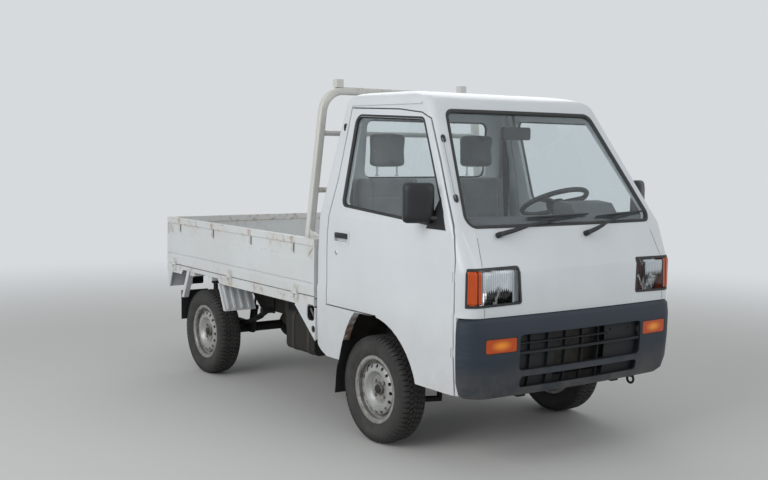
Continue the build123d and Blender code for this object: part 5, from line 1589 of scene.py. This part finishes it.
def makeHanger(bm):
    # folded bracket that hangs from the rail behind the tank, with a hooked lower end
    plate = [(0.116, 0.400), (0.124, 0.380), (0.140, 0.379), (0.170, 0.577), (0.160, 0.606), (0.128, 0.606)]
    addPrism(bm, plate, -0.604, -0.599, "X")
    addBlock(bm, (-0.640, 0.124, 0.600), (-0.599, 0.164, 0.6075))
    addTube(bm, underSettings["hook"], 0.006, 10)


def makeDampers(bm):
    # rear damper from the axle to the frame
    top, low = Vector((-0.352, 0.960, 0.560)), Vector((-0.352, 1.030, 0.250))
    for start, end, radius, sides in ((0.0, 0.52, 0.024, 18), (0.50, 0.56, 0.027, 18), (0.5, 1.0, 0.0075, 12)):
        addTube(bm, [low.lerp(top, start), low.lerp(top, end)], radius, sides)


def makeLampShells():
    # black housings with a flange round the rear lamps, and the lens only on their rear face
    bm = bmesh.new()
    y, (z0, z1) = underSettings["lampY"], underSettings["lampZ"]
    back = y - underSettings["lampDepth"]
    for side in (-1, 1):
        low, high = sorted(side * x for x in underSettings["lampX"])
        outer = roundedOutline((low - 0.003, z0 - 0.003), (high + 0.003, z1 - 0.001), 0.010)
        lip = roundedOutline((low + 0.003, z0 + 0.003), (high - 0.003, z1 - 0.005), 0.007)
        bridgeRings(bm, [[bm.verts.new((a, h, b)) for a, b in line] for line, h in
                         ((outer, back), (outer, y - 0.0012), (lip, y - 0.0002), (lip, y - 0.0008))])
        bm.faces.new([bm.verts.new((a, back, b)) for a, b in outer])
    shapePiece("rearLampShells", bm, "chassis", "blackPlastic", 0, 40)
    for name, finish, slot in (("Red", "redLens", "red_lens"), ("Amber", "amberLens", "amber_lens"),
                               ("Clear", "clearLens", "lamp_glass")):
        bm = bmesh.new()
        for side in (-1, 1):
            low, high = sorted(side * x for x in underSettings["lensX"][name])
            addPrism(bm, roundedOutline((low, z0 + 0.008), (high, z1 - 0.010), 0.004), y - 0.0022, y + 0.0004, "Y")
        shapePiece("rearLens" + name, bm, "chassis", finish, 0.0006)


def makeSkirtLever(bm):
    # small grey lever that shows in the skirt's oval opening
    addTube(bm, [(-0.672, -0.262, 0.560), (-0.676, -0.246, 0.580), (-0.676, -0.232, 0.596)], [0.007, 0.006, 0.005], 10)
    addTube(bm, [(-0.640, -0.262, 0.560), (-0.676, -0.262, 0.560)], 0.009, 12)


makeTankStraps()
handedPieces("hangingBracket", makeHanger, bothChassis, "underPaint", 0, 35)
handedPieces("rearDamper", makeDampers, bothChassis, "underPaint", 0, 40)
makeLampShells()
handedPieces("skirtLever", makeSkirtLever, bothChassis, "greyPlastic", 0, 40)
print("underside fitted out")


# camera and studio

cameraSettings = {"place": (-3.6189, -5.0246, 1.4757), "yaw": -35.5, "pitch": -5.15, "roll": 0.85,
                  "lens": 49.49, "sensor": 36}


def placeCamera():
    yaw, pitch, roll = [math.radians(cameraSettings[k]) for k in ("yaw", "pitch", "roll")]
    look = Vector((-math.sin(yaw) * math.cos(pitch), math.cos(yaw) * math.cos(pitch), math.sin(pitch)))
    right = look.cross(Vector((0, 0, 1))).normalized()
    up = right.cross(look)
    turnedRight = right * math.cos(roll) + up * math.sin(roll)
    turnedUp = up * math.cos(roll) - right * math.sin(roll)
    data = bpy.data.cameras.new("photographCamera")
    data.lens = cameraSettings["lens"]
    data.sensor_width = cameraSettings["sensor"]
    camera = linkObject("photographCamera", data)
    turn = Matrix((turnedRight, turnedUp, -look)).transposed().to_4x4()
    camera.matrix_world = Matrix.Translation(cameraSettings["place"]) @ turn
    bpy.context.scene.camera = camera


lampTable = [  # name, place, aim, size, watts
    ("keySoftbox", (-7.0, -1.6, 4.2), (0, -0.2, 0.8), 5.0, 265),
    ("frontSoftbox", (2.5, -8.0, 4.6), (0, -0.8, 0.8), 4.5, 125),
    ("rearSoftbox", (4.5, 5.5, 5.0), (0, 0.3, 0.8), 5.0, 90),
    ("topSoftbox", (0.0, 0.0, 6.5), (0, 0, 0), 5.0, 10),
]
stageSettings = {"floor": "#c9c9c6", "backdrop": "#d6dadd", "sky": "#eef2f6", "size": 60.0, "worldLevel": 0.5,
                 "fade": (2.8, 8.0)}


def makeStage():
    mesh = bpy.data.meshes.new("studioFloor")
    half = stageSettings["size"] / 2
    mesh.from_pydata([(-half, -half, 0), (half, -half, 0), (half, half, 0), (-half, half, 0)], [], [(0, 1, 2, 3)])
    floor = linkObject("studioFloor", mesh)
    material, tree, shader, place = startMaterial("studioFloor", stageSettings["floor"], {"Roughness": 0.9})
    distance = addNode(tree, "ShaderNodeVectorMath", {"operation": "LENGTH"}, {0: place})
    near, far = stageSettings["fade"]
    fade = addNode(tree, "ShaderNodeMapRange", {"From Min": near, "From Max": far, "interpolation_type": "SMOOTHSTEP"},
                   {"Value": distance.outputs["Value"]})
    backdrop = hexLinear(stageSettings["backdrop"])
    glow = addNode(tree, "ShaderNodeEmission", {"Color": backdrop, "Strength": 1.0})
    mix = addNode(tree, "ShaderNodeMixShader", None, {
        0: fade.outputs["Result"], 1: shader.outputs[0], 2: glow.outputs[0]})
    tree.links.new(mix.outputs[0], tree.nodes["Material Output"].inputs["Surface"])
    mesh.materials.append(material)

    world = bpy.data.worlds.new("studioWorld")
    bpy.context.scene.world = world
    world.use_nodes = True
    tree = world.node_tree
    tree.nodes.clear()
    path = addNode(tree, "ShaderNodeLightPath").outputs
    seen = calc(tree, "MAXIMUM", path["Is Camera Ray"], path["Is Transmission Ray"], path["Is Glossy Ray"])
    soft = addNode(tree, "ShaderNodeBackground", {
        "Color": hexLinear(stageSettings["sky"]), "Strength": stageSettings["worldLevel"]})
    plain = addNode(tree, "ShaderNodeBackground", {"Color": backdrop, "Strength": 1.0})
    mix = addNode(tree, "ShaderNodeMixShader", None, {0: seen, 1: soft.outputs[0], 2: plain.outputs[0]})
    addNode(tree, "ShaderNodeOutputWorld", None, {"Surface": mix.outputs[0]})

    for name, place, aim, size, watts in lampTable:
        data = bpy.data.lights.new(name, "AREA")
        data.shape = "SQUARE"
        data.size = size
        data.energy = watts
        turn = (Vector(aim) - Vector(place)).to_track_quat("-Z", "Y").to_matrix().to_4x4()
        linkObject(name, data).matrix_world = Matrix.Translation(place) @ turn
    bpy.context.scene.view_settings.view_transform = "Standard"


placeCamera()
makeStage()
print("stage ready")
